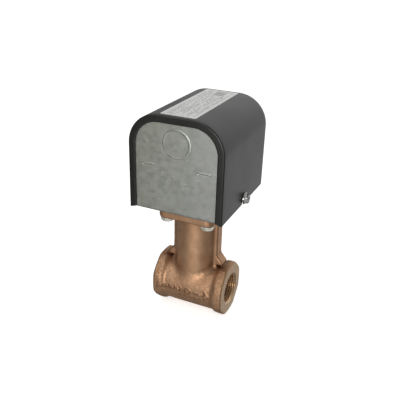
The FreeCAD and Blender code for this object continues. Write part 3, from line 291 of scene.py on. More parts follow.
def foil():
    """Silver label: rows of plain dashes along its length, two rules and a grey panel, with no words."""
    label = Finish("label_foil", (0.62, 0.62, 0.60), 0.42, 0.35)
    x, y = label.axis("X"), label.axis("Y")
    row_height = 1.55 * MM
    rows = label.math("MULTIPLY", x, 1 / row_height)
    row_offset = 7.31
    row = label.math("FLOOR", rows)
    inside_row = label.math("SUBTRACT", rows, row)
    place = label.node("ShaderNodeCombineXYZ")
    label.feed(place.inputs[0], label.math("MULTIPLY", row, row_offset))
    label.feed(place.inputs[1], y)

    def along(size, detail):
        made = label.node("ShaderNodeTexNoise", noise_dimensions="2D")
        stretch = (1.0, 1 / (size * MM), 0.0)
        label.feed(made.inputs["Vector"], label.vector("MULTIPLY", place.outputs[0], stretch))
        made.inputs["Scale"].default_value = 1.0
        made.inputs["Detail"].default_value = detail
        return made.outputs["Fac"]

    dash = label.span(along(0.9, 1.0), 0.44, 0.50)
    block = label.span(along(16.0, 0.0), 0.40, 0.45)
    bar = label.within(inside_row, 0.30, 0.78, 0.08)
    ink = label.math("MULTIPLY", label.math("MULTIPLY", bar, dash), block)
    field = label.math("MULTIPLY", label.within(x, -0.0112, 0.0108, 0.0003),
                       label.within(y, -0.0375, 0.0372, 0.0003))
    ink = label.math("MULTIPLY", ink, field)
    rule = label.math("ADD", label.within(x, 0.0062, 0.0064, 0.0002),
                      label.within(x, -0.0087, -0.0085, 0.0002))
    rule = label.math("MULTIPLY", rule, label.within(y, -0.036, 0.037, 0.0003))
    panel = label.math("MULTIPLY", label.within(x, -0.002, 0.006, 0.0002),
                       label.within(y, 0.024, 0.035, 0.0002))
    ink = label.math("MAXIMUM", ink, label.math("MULTIPLY", rule, 0.7))
    ink = label.math("MAXIMUM", ink, label.math("MULTIPLY", panel, 0.6))
    mottle = label.noise(2.2, 3.0)
    plain = label.ramp(mottle, (0.3, (0.76, 0.76, 0.75)), (0.7, (0.86, 0.86, 0.84)))
    label.put("Base Color", label.mix(label.math("MULTIPLY", ink, 0.75), plain, (0.12, 0.12, 0.125)))
    label.put("Roughness", label.span(mottle, 0.3, 0.7, 0.36, 0.48))
    label.bump(label.noise(6.0, 2.0), 0.08, 0.4)
    return label.material


def moulded(name, dark, light, roughness, metallic=0.0):
    """Plastic, fibre or paper: two tones of one colour with a fine grain."""
    stuff = Finish(name, light, roughness, metallic)
    stuff.put("Base Color", stuff.ramp(stuff.noise(3.0, 4.0), (0.3, dark), (0.7, light)))
    fine = stuff.noise(0.5, 2.0)
    stuff.put("Roughness", stuff.span(fine, 0.3, 0.7, roughness * 0.85, roughness * 1.15))
    stuff.bump(fine, 0.03, 0.6)
    return stuff.material


# One finish for each of the record's slots, and a brighter plating for the cover screws.
FINISHES = {
    "cast_bronze": cast_bronze(),
    "black_enamel": enamel(),
    "galvanised_sheet": galvanised(),
    "zinc_screw": plain_metal("zinc_screw", (0.72, 0.69, 0.60), (0.90, 0.87, 0.78), 0.26, 2.0,
                              metallic=0.75),
    "bright_zinc": plain_metal("bright_zinc", (0.24, 0.245, 0.235), (0.62, 0.62, 0.60), 0.16, 1.4),
    "stainless": plain_metal("stainless", (0.50, 0.50, 0.50), (0.62, 0.62, 0.61), 0.3, 0.3, (1.0, 8.0, 1.0)),
    "brass_part": plain_metal("brass_part", (0.62, 0.45, 0.20), (0.78, 0.60, 0.30), 0.28),
    "phenolic": moulded("phenolic", (0.012, 0.010, 0.009), (0.025, 0.021, 0.018), 0.45),
    "plunger_plastic": moulded("plunger_plastic", (0.45, 0.035, 0.02), (0.58, 0.06, 0.03), 0.35),
    "gasket_fibre": moulded("gasket_fibre", (0.035, 0.045, 0.04), (0.07, 0.085, 0.075), 0.8),
    "fish_paper": moulded("fish_paper", (0.20, 0.215, 0.19), (0.28, 0.30, 0.27), 0.7),
    "label_foil": foil(),
    "ground_green": moulded("ground_green", (0.01, 0.12, 0.03), (0.02, 0.2, 0.06), 0.35, 0.3),
}

for part in frame["record"]["subparts"]:
    node = NODES[part["node"]]
    node.data.materials.clear()
    node.data.materials.append(FINISHES[part["material_slot"]])


# ---- Studio ----

def studio():
    """Camera, pale floor, world and lamps."""
    scene = bpy.context.scene
    scene.view_settings.view_transform = "Standard"
    eye = Vector((0.15617, -0.35436, 0.27820))
    azimuth, elevation, roll = (math.radians(a) for a in (23.67, 25.16, 1.81))
    back = Vector((math.sin(azimuth) * math.cos(elevation), -math.cos(azimuth) * math.cos(elevation),
                   math.sin(elevation)))
    right = Vector((math.cos(azimuth), math.sin(azimuth), 0.0))
    up = back.cross(right)
    tilted_right = right * math.cos(roll) + up * math.sin(roll)
    tilted_up = up * math.cos(roll) - right * math.sin(roll)
    lens = bpy.data.cameras.new("camera")
    lens.lens = 48.515
    lens.sensor_width = 36.0
    lens.clip_start = 0.01
    camera = bpy.data.objects.new("camera", lens)
    turn = Matrix((tilted_right, tilted_up, back)).transposed().to_4x4()
    camera.matrix_world = Matrix.Translation(eye) @ turn
    scene.collection.objects.link(camera)
    scene.camera = camera

    mesh = bpy.data.meshes.new("floor")
    wide = 9
    mesh.from_pydata([(-wide, -wide, 0), (wide, -wide, 0), (wide, wide, 0), (-wide, wide, 0)], [], [(0, 1, 2, 3)])
    floor = bpy.data.objects.new("floor", mesh)
    scene.collection.objects.link(floor)
    pale = Finish("pale_floor", (0.9, 0.9, 0.9), 0.9)
    pale.put("Emission Color", (1.0, 1.0, 1.0))
    pale.put("Emission Strength", 0.65)
    mesh.materials.append(pale.material)
    floor.visible_glossy = False

    world = bpy.data.worlds.new("studio")
    scene.world = world
    world.use_nodes = True
    tree = world.node_tree
    background = next(n for n in tree.nodes if n.type == "BACKGROUND")
    place = tree.nodes.new("ShaderNodeTexCoord")
    split = tree.nodes.new("ShaderNodeSeparateXYZ")
    tree.links.new(place.outputs["Generated"], split.inputs[0])

    def along(aim):
        made = tree.nodes.new("ShaderNodeVectorMath")
        made.operation = "DOT_PRODUCT"
        made.inputs[1].default_value = aim
        tree.links.new(place.outputs["Generated"], made.inputs[0])
        return made.outputs["Value"]

    def fade(source, low, high):
        made = tree.nodes.new("ShaderNodeMapRange")
        made.interpolation_type = "SMOOTHSTEP"
        made.inputs[1].default_value = low
        made.inputs[2].default_value = high
        tree.links.new(source, made.inputs[0])
        return made.outputs[0]

    def math_node(operation, first, second, third=None):
        made = tree.nodes.new("ShaderNodeMath")
        made.operation = operation
        for index, source in enumerate((first, second, third)):
            if isinstance(source, bpy.types.NodeSocket):
                tree.links.new(source, made.inputs[index])
            elif source is not None:
                made.inputs[index].default_value = source
        return made.outputs[0]

    # Dim to the sides, brighter behind the object and high up, with a patch of lit table in front.
    behind = fade(along((0.34, 0.94, 0.0)), 0.42, 0.92)
    high = fade(split.outputs["Z"], -0.25, 0.55)
    glow = math_node("MULTIPLY_ADD", high, 0.5, 0.47)
    glow = math_node("MULTIPLY_ADD", behind, glow, 0.14)
    beside = math_node("SUBTRACT", 1.0, behind)
    glow = math_node("MULTIPLY_ADD", beside, math_node("MULTIPLY", high, 0.2), glow)
    front = fade(along((0.095, -0.90, -0.42)), 0.78, 0.98)
    glow = math_node("MULTIPLY_ADD", front, 0.55, glow)
    ray = tree.nodes.new("ShaderNodeLightPath")
    choose = tree.nodes.new("ShaderNodeMix")
    choose.data_type = "FLOAT"
    tree.links.new(ray.outputs["Is Camera Ray"], choose.inputs[0])
    tree.links.new(glow, choose.inputs[2])
    choose.inputs[3].default_value = 1.0
    tree.links.new(choose.outputs[0], background.inputs["Strength"])
    background.inputs["Color"].default_value = (1.0, 1.0, 1.0, 1.0)

    for name, spot, size, watts in (
            ("key", (0.13, -0.86, 0.16), 0.35, 3.3),
            ("top", (-0.1, 0.25, 1.1), 0.5, 1.6),
            ("fill", (-0.35, -0.75, 0.95), 0.6, 2.4)):
        lamp = bpy.data.lights.new(name, "AREA")
        lamp.size = size
        lamp.energy = watts
        light = bpy.data.objects.new(name, lamp)
        light.location = spot
        aim = Vector((0, 0, 0.09)) - Vector(spot)
        light.rotation_euler = aim.to_track_quat("-Z", "Y").to_euler()
        scene.collection.objects.link(light)


# ---- Mesh helpers ----

def piece(name, points, faces, slot, body, replaces=(), sharp=35.0, attributes=()):
    """A mesh piece from points in millimetres, with its finish and edges sharper than an angle.

    It rides on body. A piece that blends across a joint has no body of its own.
    """
    points = np.asarray(points, float) * MM
    mesh = bpy.data.meshes.new(name)
    mesh.vertices.add(len(points))
    mesh.vertices.foreach_set("co", points.ravel().astype(np.float32))
    sizes = np.array([len(f) for f in faces], np.int32)
    starts = np.concatenate(([0], np.cumsum(sizes)[:-1])).astype(np.int32)
    mesh.loops.add(int(sizes.sum()))
    mesh.loops.foreach_set("vertex_index", np.concatenate([np.asarray(f, np.int32) for f in faces]))
    mesh.polygons.add(len(faces))
    mesh.polygons.foreach_set("loop_start", starts)
    mesh.update(calc_edges=True)
    mesh.validate()
    for key, numbers in attributes:
        layer = mesh.attributes.new(key, "FLOAT", "POINT")
        layer.data.foreach_set("value", np.asarray(numbers, np.float32))
    mesh.shade_smooth()
    if sharp:
        mesh.set_sharp_from_angle(angle=math.radians(sharp))
    made = bpy.data.objects.new(name, mesh)
    bpy.context.scene.collection.objects.link(made)
    mesh.materials.append(FINISHES[slot])
    if body:
        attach(made, body)
    if replaces:
        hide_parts(*replaces)
    return made


def tube_faces(rings, around, close_ends=True, wrap=False):
    """Faces of a grid of rings: around points in each, closed round each ring."""
    faces = []
    for i in range(rings if wrap else rings - 1):
        a, b = i * around, ((i + 1) % rings) * around
        for j in range(around):
            k = (j + 1) % around
            faces.append((a + j, a + k, b + k, b + j))
    if close_ends and not wrap:
        faces.append(tuple(reversed(range(around))))
        faces.append(tuple((rings - 1) * around + j for j in range(around)))
    return faces


# ---- The bronze tee ----

def smin(a, b, blend):
    """Union with a fillet of about this size, in millimetres."""
    h = np.clip(0.5 + 0.5 * (b - a) / blend, 0.0, 1.0)
    return b * (1 - h) + a * h - blend * h * (1 - h)


def smax(a, b, blend):
    return -smin(-a, -b, blend)


RUN_RADIUS = 20.3
NECK_RADIUS, NECK_BORE = 17.3, 13.0
RIB_REACH, RIB_HALF, RIB_FOOT_REACH = 19.6, 5.2, 24.7
FOOT_TOP, FOOT_BOTTOM = 30.2, 21.7
FOOT_SLOPE = (0.769, 0.639)
FLANGE_CORNER = (17.0, 21.5)
FLANGE_ROUND = 6.0
FLANGE_Z = TEE_HIGH.z - 7.0
BOLTS = [(x, y) for x in (-17.0, 17.0) for y in (-21.2, 21.2)]
BOLT_HOLE = 3.3
COLLAR_RADIUS, COLLAR_WIDTH = 22.9, 6.5
COLLAR_SHELF, COLLAR_SLOPE = 22.6, 1.48
PORT_BORE, PORT_DEPTH, WATERWAY = 13.35, 19.0, 11.2
DIAGONAL = 0.70711


def tee_parts(x, y, z):
    """The casting's outside with its fillets, and what is machined away. z is from the floor."""
    up = z - PIPE_Z
    ax, ay = np.abs(x), np.abs(y)
    end = TEE_HIGH.x
    across = np.hypot(y, up)
    run = np.maximum(across - RUN_RADIUS, ax - end + 1)
    neck = np.maximum(np.hypot(x, y) - NECK_RADIUS, -up)
    incline = (ax - RIB_REACH) * FOOT_SLOPE[0] + (up - FOOT_TOP) * FOOT_SLOPE[1]
    flare = smax(np.maximum(incline, ax - RIB_FOOT_REACH), FOOT_BOTTOM - up, 1.2)
    rib = smax(smin(ax - RIB_REACH, flare, 1.2), ay - RIB_HALF, 1.8)
    corner_x, corner_y = FLANGE_CORNER
    corner = np.hypot(np.maximum(ax - corner_x, 0), np.maximum(ay - corner_y, 0)) - FLANGE_ROUND
    sides = np.maximum(ax - (corner_x + FLANGE_ROUND), ay - (corner_y + FLANGE_ROUND))
    corner = np.where((ax > corner_x) & (ay > corner_y), corner, sides)
    flange = smax(corner, FLANGE_Z - z, 1.6)
    octagon = np.maximum(np.maximum(ay, np.abs(up)), (ay + np.abs(up)) * DIAGONAL) - PIPE_Z
    collar = smax(octagon, across - COLLAR_RADIUS, 2.0)
    slope = end - COLLAR_WIDTH - ax - COLLAR_SLOPE * (COLLAR_SHELF - across)
    collar = smax(collar, slope / 1.786, 1.0)
    collar = smax(collar, ax - end, 1.8)
    body = smin(run, neck, 3.6)
    body = smin(body, rib, 2.2)
    body = smin(body, collar, 0.8)
    body = smin(body, flange, 3.0)
    body = np.maximum(body, z - TEE_HIGH.z)
    bores = np.minimum(across - WATERWAY, np.maximum(across - PORT_BORE, end - PORT_DEPTH - ax))
    bores = np.minimum(bores, np.maximum(np.hypot(x, y) - NECK_BORE, -up))
    for bx, by in BOLTS:
        hole = np.maximum(np.hypot(x - bx, y - by) - BOLT_HOLE, FLANGE_Z - 2 - z)
        bores = np.minimum(bores, hole)
    return body, bores


def tee_field(x, y, z):
    """Distance from the finished casting's surface, below 0 inside it."""
    body, bores = tee_parts(x, y, z)
    return smax(body, -bores, 0.5)


def foundry_marks(x, s):
    """How raised the casting is at x along the pipe and s round it: bars, a ring, a flow arrow and pips."""
    def bar(cx, cy, half_x, half_y):
        return np.maximum(np.abs(x - cx) - half_x, np.abs(s - cy) - half_y)

    shaft = bar(11.5, 0.0, 4.6, 0.7)
    head_x = 15.8
    head = np.maximum((x - head_x) * 0.62 + np.abs(s) * 0.78 - 2.9, head_x - x)
    shape = np.minimum(shaft, head)
    shape = np.minimum(shape, np.abs(np.hypot(x - 1.0, s) - 2.3) - 0.55)
    for k, cx in enumerate((-25.6, -23.2, -20.6, -18.2, -15.6, -13.2, -10.6, -8.2, -5.6)):
        if k % 2:
            shape = np.minimum(shape, np.abs(x - cx) + np.abs(s + 0.4) - 1.4)
        else:
            shape = np.minimum(shape, bar(cx, 0.2, 0.55, 2.1))
    for cx in (-6.0, -1.5, 3.0, 7.5, 12.0, 16.5):
        shape = np.minimum(shape, np.hypot(x - cx, s + 4.9) - 0.75)
    return np.clip(0.5 - shape / 0.8, 0.0, 1.0)


def ripples(points, count, short, long, seed):
    """Even random waviness of points, from -1 to 1 or so."""
    rng = np.random.default_rng(seed)
    total = np.zeros(len(points))
    for _ in range(count):
        way = rng.normal(size=3)
        way *= 2 * math.pi / (np.linalg.norm(way) * rng.uniform(short, long))
        total += np.sin(points @ way + rng.uniform(0, 2 * math.pi))
    return total / math.sqrt(count)


def unit_slope(points):
    """Direction straight out of the casting at points."""
    eps = 0.05
    slope = np.stack([(tee_field(*(points + eps * axis).T) - tee_field(*(points - eps * axis).T)) / (2 * eps)
                      for axis in np.eye(3)], axis=1)
    return slope / np.maximum(np.linalg.norm(slope, axis=1, keepdims=True), 1e-6)


def tee_skin():
    """Points and quads on the casting's surface, before its rough skin."""
    step, margin = 0.55, 2.3
    low = np.array(TEE_LOW) - margin * step
    counts = np.ceil((np.array(TEE_HIGH) + margin * step - low) / step).astype(int) + 1
    axes = [low[i] + step * np.arange(counts[i]) for i in range(3)]
    x, y, z = np.meshgrid(*axes, indexing="ij", sparse=True)
    field = np.broadcast_to(tee_field(x, y, z), counts)
    band = 3 * step
    grid = openvdb.FloatGrid(band)
    grid.copyFromArray(np.ascontiguousarray(np.clip(field, -band, band), dtype=np.float32))
    points, quads = grid.convertToQuads(isovalue=0.0)
    points = points.astype(float) * step + low
    for _ in range(2):
        gap = np.clip(tee_field(*points.T), -0.25, 0.25)
        points = points - unit_slope(points) * gap[:, None]
    return points, quads.tolist()


def casting():
    """The tee with its sandy skin, raised marks and machined faces, and what each point's finish needs."""
    points, quads = tee_skin()
    normal = unit_slope(points)
    bores = tee_parts(*points.T)[1]
    soft = 0.25
    cut_away = np.clip(1.0 - (np.abs(bores) - 0.1) / soft, 0, 1)
    faced = np.clip(1.0 - (TEE_HIGH.x - 0.3 - np.abs(points[:, 0])) / soft, 0, 1)
    faced = np.maximum(faced, np.clip(1.0 - (TEE_HIGH.z - 0.25 - points[:, 2]) / soft, 0, 1))
    machined = np.maximum(cut_away, faced)
    cast = 1.0 - machined
    up = points[:, 2] - PIPE_Z
    radius = np.hypot(points[:, 1], up)
    around = RUN_RADIUS * np.arctan2(up, -points[:, 1])
    marks = foundry_marks(points[:, 0], around)
    marks *= (radius < 23.4) & (np.abs(points[:, 0]) < 27.5)
    marks *= np.clip(0.9 + 0.2 * ripples(points, 20, 1.5, 4.0, 7), 0.5, 1.1)
    ends = 1 / (1 + np.exp((22.5 - np.abs(points[:, 0])) / 0.8))
    sandy = 0.35 + 0.35 / (1 + np.exp((up - 19.0) / 2.0)) + 0.6 * ends
    rough = 0.055 * sandy * ripples(points, 26, 1.6, 4.5, 3) + 0.04 * ripples(points, 12, 6.0, 16.0, 4)
    mark_height = 0.6
    points = points + normal * (cast * rough + mark_height * marks * cast)[:, None]
    points[:, 2] = np.clip(points[:, 2], TEE_LOW.z, TEE_HIGH.z)
    # Painted shade: ambient occlusion reckoned from the casting's shape darkens the skin in hollows, creases and
    # under the foot's ledge.
    shade = np.zeros(len(points))
    for reach, weight in ((1.5, 0.3), (4.0, 0.35), (8.0, 0.35)):
        away = tee_parts(*(points + normal * reach).T)[0]
        shade += weight * np.clip(1.0 - away / reach, 0, 1)
    painted_shade = np.clip(1.5 * shade, 0, 0.85) * cast
    # The raised marks' mask carries a painted highlight: the shader paints the marks lighter.
    piece("tee_casting", points, quads, "cast_bronze", "frame", ["tee_body"], sharp=None,
          attributes=(("machined", machined), ("painted_shade", painted_shade), ("sandy", sandy),
                      ("painted_mark_highlight", marks * cast), ("edge", 4 * marks * (1 - marks) * cast)))


def port_threads():
    """Taper pipe thread in each port: a helical ridge on a ring let into the casting."""
    pitch, depth, around, rows_a_turn = 1.814, 17.0, 96, 12
    mouth, countersunk, ring_back = 13.9, 0.95, 14.2
    rows = int(depth / pitch * rows_a_turn)
    angle = np.linspace(0, 2 * math.pi, around, endpoint=False)
    rings = [(0.0, np.full(around, mouth))]
    for a in np.linspace(0.0, depth, rows):
        phase = (a / pitch - angle / (2 * math.pi)) % 1.0
        ridge = np.clip((np.abs(phase - 0.5) * 2 - 0.1) / 0.8, 0, 1)
        fade = min(1.0, max(0.0, (depth - a) / 3.0))
        r = 13.25 - a / 32 - 1.15 * ridge * fade
        if a < countersunk:
            r = np.maximum(r, 12.75 + (countersunk - a) * 0.9)
        rings.append((a, r))
    rings.append((depth, np.full(around, ring_back)))
    rings.append((0.4, np.full(around, ring_back)))
    for sign, name in ((-1, "inlet_thread"), (1, "outlet_thread")):
        points = []
        for a, r in rings:
            x = sign * (TEE_HIGH.x - a)
            points += [(x, rr * math.cos(t), PIPE_Z + rr * math.sin(t)) for rr, t in zip(r, angle)]
        faces = tube_faces(len(rings), around, wrap=True)
        if sign < 0:
            faces = [tuple(reversed(f)) for f in faces]
        # The inside attribute paints the threads lighter, a painted stand-in for light reflected inside the port.
        piece(name, points, faces, "cast_bronze", "frame", sharp=None,
              attributes=(("machined", np.ones(len(points))), ("inside", np.ones(len(points)))))


# ---- The enclosure ----

SHOULDER = 23.5
LIP = 5.4
SHEET = 1.2
TRAY_FACE = COVER_HIGH.y - 1.3
TRAY_BEND = 2.0
TRAY_SHOULDER = 22.2
FLOOR_HOLE = 7.0
LANCE_DROP = 18.0


def cover_profile(half_depth, lip, wall, outer, inner):
    """Closed section of the cover's sheet as (inward, along the depth), lips and bends at both ends."""
    quarter = math.pi / 2

    def bend(centre, radius, start, end, count):
        return [(centre[0] - radius * math.cos(a), centre[1] + radius * math.sin(a))
                for a in np.linspace(start, end, count)]

    end = []
    end += bend((outer, half_depth - outer), outer, 0.0, quarter, 9)
    end += [(s, half_depth) for s in np.linspace(outer, lip - wall / 2, 5)[1:-1]]
    end += bend((lip - wall / 2, half_depth - wall / 2), wall / 2, quarter, 3 * quarter, 7)
    end += [(s, half_depth - wall) for s in np.linspace(lip - wall / 2, wall + inner, 5)[1:-1]]
    end += bend((wall + inner, half_depth - wall - inner), inner, quarter, 0.0, 5)
    outside = [(0.0, y) for y in np.linspace(-(half_depth - outer), half_depth - outer, 17)[1:-1]]
    flat = half_depth - wall - inner
    inside = [(wall, y) for y in np.linspace(flat, -flat, 17)[1:-1]]
    return outside + end + inside + [(s, -y) for s, y in reversed(end)]


def cover_shell():
    """The drawn cover: its section swept up one side, over the top and down, with a slot for each screw."""
    half, top, foot = COVER_HIGH.x, COVER_HIGH.z, COVER_LOW.z
    wall, lip_lift, slot = 1.0, 1.3, 4.0
    section = cover_profile(COVER_HIGH.y, LIP, wall, 1.1, 0.3)
    straight = np.linspace(0, 1, 19)
    turns = np.linspace(0, math.pi / 2, 29)
    points = []

    def station(place):
        for inward, y in section:
            points.append(place(inward, y))

    def side(share, sign):
        def place(inward, y):
            lift = lip_lift * min(max((inward - wall) / (LIP - wall), 0.0), 1.0)
            low = foot + lift
            return (sign * (half - inward), y, low + (top - SHOULDER - low) * share)
        return place

    def round_corner(angle, sign):
        def place(inward, y):
            r = SHOULDER - inward
            return (sign * (half - SHOULDER + r * math.cos(angle)), y,
                    top - SHOULDER + r * math.sin(angle))
        return place

    for share in straight:
        station(side(share, -1))
    for angle in turns[1:]:
        station(round_corner(angle, -1))
    for x in np.linspace(-(half - SHOULDER), half - SHOULDER, 11)[1:-1]:
        station(lambda inward, y, x=x: (x, y, top - inward))
    for angle in turns[::-1]:
        station(round_corner(angle, 1))
    for share in straight[::-1][1:]:
        station(side(share, 1))
    faces = tube_faces(len(points) // len(section), len(section))
    shell = piece("cover_shell", points, faces, "black_enamel", "lid", ["cover"], sharp=None)
    cy, cz = screw_spot("cover_screw_right")
    outline = [(cy - slot, foot - 2), (cy - slot, cz)]
    outline += [(cy - slot * math.cos(a), cz + slot * math.sin(a)) for a in np.linspace(0, math.pi, 21)[1:-1]]
    outline += [(cy + slot, cz), (cy + slot, foot - 2)]
    cut(shell, [prism(outline, "X", sign * (half - 3), sign * (half + 3)) for sign in (-1, 1)])
    shell.data.set_sharp_from_angle(angle=math.radians(38))


def along_axis(axis, t, u, v):
    """A point t along X or Z, with u and v across it."""
    return (t, u, v) if axis == "X" else (u, v, t)


def prism(outline, axis, start, end):
    """Points and faces of an outline pushed along an axis, in millimetres."""
    points = [along_axis(axis, t, u, v) for t in (start, end) for u, v in outline]
    return points, tube_faces(2, len(outline))


def cut(target, solids):
    """Takes prisms out of a piece."""
    for points, faces in solids:
        mesh = bpy.data.meshes.new("cutter")
        mesh.from_pydata([tuple(c * MM for c in p) for p in points], [], faces)
        shape = bmesh.new()
        shape.from_mesh(mesh)
        bmesh.ops.recalc_face_normals(shape, faces=shape.faces)
        shape.to_mesh(mesh)
        shape.free()
        cutter = bpy.data.objects.new("cutter", mesh)
        bpy.context.scene.collection.objects.link(cutter)
        tool = target.modifiers.new("cut", "BOOLEAN")
        tool.operation = "DIFFERENCE"
        tool.solver = "EXACT"
        tool.object = cutter
        graph = bpy.context.evaluated_depsgraph_get()
        result = bpy.data.meshes.new_from_object(target.evaluated_get(graph))
        target.modifiers.clear()
        target.data = result
        bpy.data.objects.remove(cutter)


def wall_relief(x, z):
    """How far a wall's outside stands out at a point: the knockout's slanted bead and its cut, two lances."""
    def ridge(distance, width):
        return np.exp(-(distance / width) ** 2)

    x_in, z_in = x - 0.5, z - KNOCKOUT_Z
    r = np.hypot(x_in, z_in)
    lifted = 0.55 + 0.45 * (0.77 * x_in + 0.64 * z_in) / np.maximum(r, 1)
    out = (0.30 * lifted + 0.04) * ridge(r - 10.2, 0.55) - 0.08 * ridge(r - 11.05, 0.30)
    out += 0.04 / (1 + np.exp((r - 10.0) / 0.3))
    above = z - (KNOCKOUT_Z - LANCE_DROP)
    for side in (-21.5, 21.5):
        along = 1 / (1 + np.exp((np.abs(x - side) - 4.4) / 0.25))
        out += along * (0.46 * ridge(above - 0.55, 0.36) - 0.62 * ridge(above + 0.15, 0.34))
    return out


class Sheet:
    """Points and faces gathered as grids of rows."""

    def __init__(self):
        self.points, self.faces = [], []

    def add(self, rows, flip):
        base, wide = len(self.points), len(rows[0])
        for row in rows:
            self.points.extend(row)
        for i in range(len(rows) - 1):
            for j in range(wide - 1):
                q = base + i * wide + j
                quad = (q, q + 1, q + wide + 1, q + wide)
                self.faces.append(tuple(reversed(quad)) if flip else quad)

    def join(self, points, faces):
        base = len(self.points)
        self.points.extend(points)
        self.faces.extend(tuple(base + k for k in f) for f in faces)


def tray_wall(sheet, sign):
    """One end wall of the chassis, from its bend at the floor to its round top, outside, inside and rim."""
    half, foot = TRAY_HIGH.x, TRAY_LOW.z
    centre_z = TRAY_HIGH.z - TRAY_SHOULDER
    columns, thin_out = 211, 10
    spread = np.linspace(-1, 1, columns)

    def half_width(z):
        if z <= centre_z:
            return half
        return half - TRAY_SHOULDER + math.sqrt(max(0.0, TRAY_SHOULDER ** 2 - (z - centre_z) ** 2))

    outer, inner = [], []

    def row(y, z, out_y, out_z, x, lift):
        outer.append([(u, sign * (y + out_y * w), z + out_z * w) for u, w in zip(x, lift)])
        inner.append([(u, sign * (y - out_y * SHEET), z - out_z * SHEET) for u in x[::thin_out]])

    for a in np.linspace(math.pi / 2, 0, 9)[:-1]:
        y = TRAY_FACE - TRAY_BEND + TRAY_BEND * math.cos(a)
        z = foot + TRAY_BEND - TRAY_BEND * math.sin(a)
        row(y, z, math.cos(a), -math.sin(a), half * spread, np.zeros(columns))
    heights = list(np.linspace(foot + TRAY_BEND, centre_z, 160))
    heights += [centre_z + TRAY_SHOULDER * math.sin(a) for a in np.linspace(0, math.pi / 2, 80)[1:]]
    for z in heights:
        x = half_width(z) * spread
        lift = wall_relief(x, z) * np.clip((np.abs(half_width(z)) - np.abs(x)) / 1.0, 0, 1)
        row(TRAY_FACE, z, 1.0, 0.0, x, lift)
    sheet.add(outer, sign > 0)
    sheet.add(inner[::3] + ([inner[-1]] if (len(inner) - 1) % 3 else []), sign < 0)
    rim_out = [r[0] for r in outer] + outer[-1][1:-1] + [r[-1] for r in reversed(outer)]
    rim_in = [r[0] for r in inner]
    rim_in += [(x, sign * (TRAY_FACE - SHEET), z) for x, y, z in outer[-1][1:-1]]
    rim_in += [r[-1] for r in reversed(inner)]
    sheet.add([rim_out, rim_in], sign < 0)


def tray_floor(sheet):
    """The chassis floor with the hole that the switch arm comes up through, and its two long edges."""
    half, foot = TRAY_HIGH.x, TRAY_LOW.z
    flat_y = TRAY_FACE - TRAY_BEND
    angles = np.linspace(0, 2 * math.pi, 64, endpoint=False)
    for z, flip in ((foot, True), (foot + SHEET, False)):
        rings = []
        for share in (0.0, 0.35, 1.0):
            ring = []
            for a in angles:
                c, d = math.cos(a), math.sin(a)
                reach = min(half / max(abs(c), 1e-9), flat_y / max(abs(d), 1e-9))
                r = FLOOR_HOLE + (reach - FLOOR_HOLE) * share
                ring.append((r * c, r * d, z))
            rings.append(ring + [ring[0]])
        sheet.add(rings, flip)
    edge = [(FLOOR_HOLE * math.cos(a), FLOOR_HOLE * math.sin(a)) for a in np.append(angles, angles[:1])]
    sheet.add([[(x, y, z) for x, y in edge] for z in (foot, foot + SHEET)], False)
    for sign in (-1, 1):
        sheet.add([[(sign * half, y, z) for y in (-flat_y, flat_y)] for z in (foot, foot + SHEET)], sign < 0)


def tray_tab(sheet, sign):
    """The upturned tab with round corners that a cover screw goes into."""
    middle = screw_spot("cover_screw_right")[0]
    half, shoulder, bottom, top, bend = TRAY_HIGH.x, 5, TRAY_LOW.z + 0.6, TRAY_LOW.z + 7, 3
    quarter = math.pi / 2
    outline = [(middle - shoulder - bend, bottom), (middle - shoulder - bend, top)]
    outline += [(middle - shoulder - bend * math.cos(a), top + bend * math.sin(a))
                for a in np.linspace(0.2, quarter, 6)]
    outline += [(middle + shoulder + bend * math.sin(a), top + bend * math.cos(a))
                for a in np.linspace(0, quarter - 0.2, 6)]
    outline += [(middle + shoulder + bend, top), (middle + shoulder + bend, bottom)]
    sheet.join(*prism(outline, "X", sign * (half - SHEET), sign * half))


def chassis_sheet():
    sheet = Sheet()
    for sign in (-1, 1):
        tray_wall(sheet, sign)
    tray_floor(sheet)
    for sign in (-1, 1):
        tray_tab(sheet, sign)
    piece("chassis_sheet", sheet.points, sheet.faces, "galvanised_sheet", "frame", ["chassis"], sharp=32)


def label():
    """The foil label with its round corners."""
    low, high = mm("rating_label")
    corner = 1.2
    left, right, front, back = low.x + corner, high.x - corner, low.y + corner, high.y - corner
    outline = []
    for cx, cy, start in ((right, back, 0), (left, back, 90), (left, front, 180), (right, front, 270)):
        turns = [math.radians(start + a) for a in range(0, 91, 15)]
        outline += [(cx + corner * math.cos(t), cy + corner * math.sin(t)) for t in turns]
    points, faces = prism(outline, "Z", low.z + 0.01, high.z)
    piece("label_sheet", points, faces, "label_foil", "lid", ["rating_label"])


# ---- Spring, bellows, screws and the edges of the plain parts ----

def helix(name, x, radius, wire, low, high, turns, start, flat_low, flat_high):
    """Half of the range spring, with its end coil closed flat at the bottom or at the top."""
    steps, around = int(turns * 40), 10
    closed = 0.75 / turns
    points = []
    for i in range(steps + 1):
        share = i / steps
        turn = start + share * turns
        rise = share
        if flat_low:
            rise = max(0.0, (share - closed) / (1 - closed))
        if flat_high:
            rise = min(1.0, share / (1 - closed))
        c, d = math.cos(2 * math.pi * turn), math.sin(2 * math.pi * turn)
        centre = Vector((x + radius * c, radius * d, low + (high - low) * rise))
        out = Vector((c, d, 0))
        for k in range(around):
            a = 2 * math.pi * k / around
            points.append(centre + wire * (math.cos(a) * out + math.sin(a) * Vector((0, 0, 1))))
    return piece(name, points, tube_faces(steps + 1, around), "stainless", "frame", sharp=50)


def range_spring():
    """Two halves of the range spring, a lower and an upper one."""
    low, high = mm("range_spring")
    wire = 0.45
    radius = (high.x - low.x) / 2 - wire
    x = (low.x + high.x) / 2
    middle = (low.z + high.z) / 2
    lower = helix("spring_lower", x, radius, wire, low.z + wire, middle, 3.5, 0.0, True, False)
    upper = helix("spring_upper", x, radius, wire, middle, high.z - wire, 3.5, 0.5, False, True)
    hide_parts("range_spring")
    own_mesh(lower)
    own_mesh(upper)


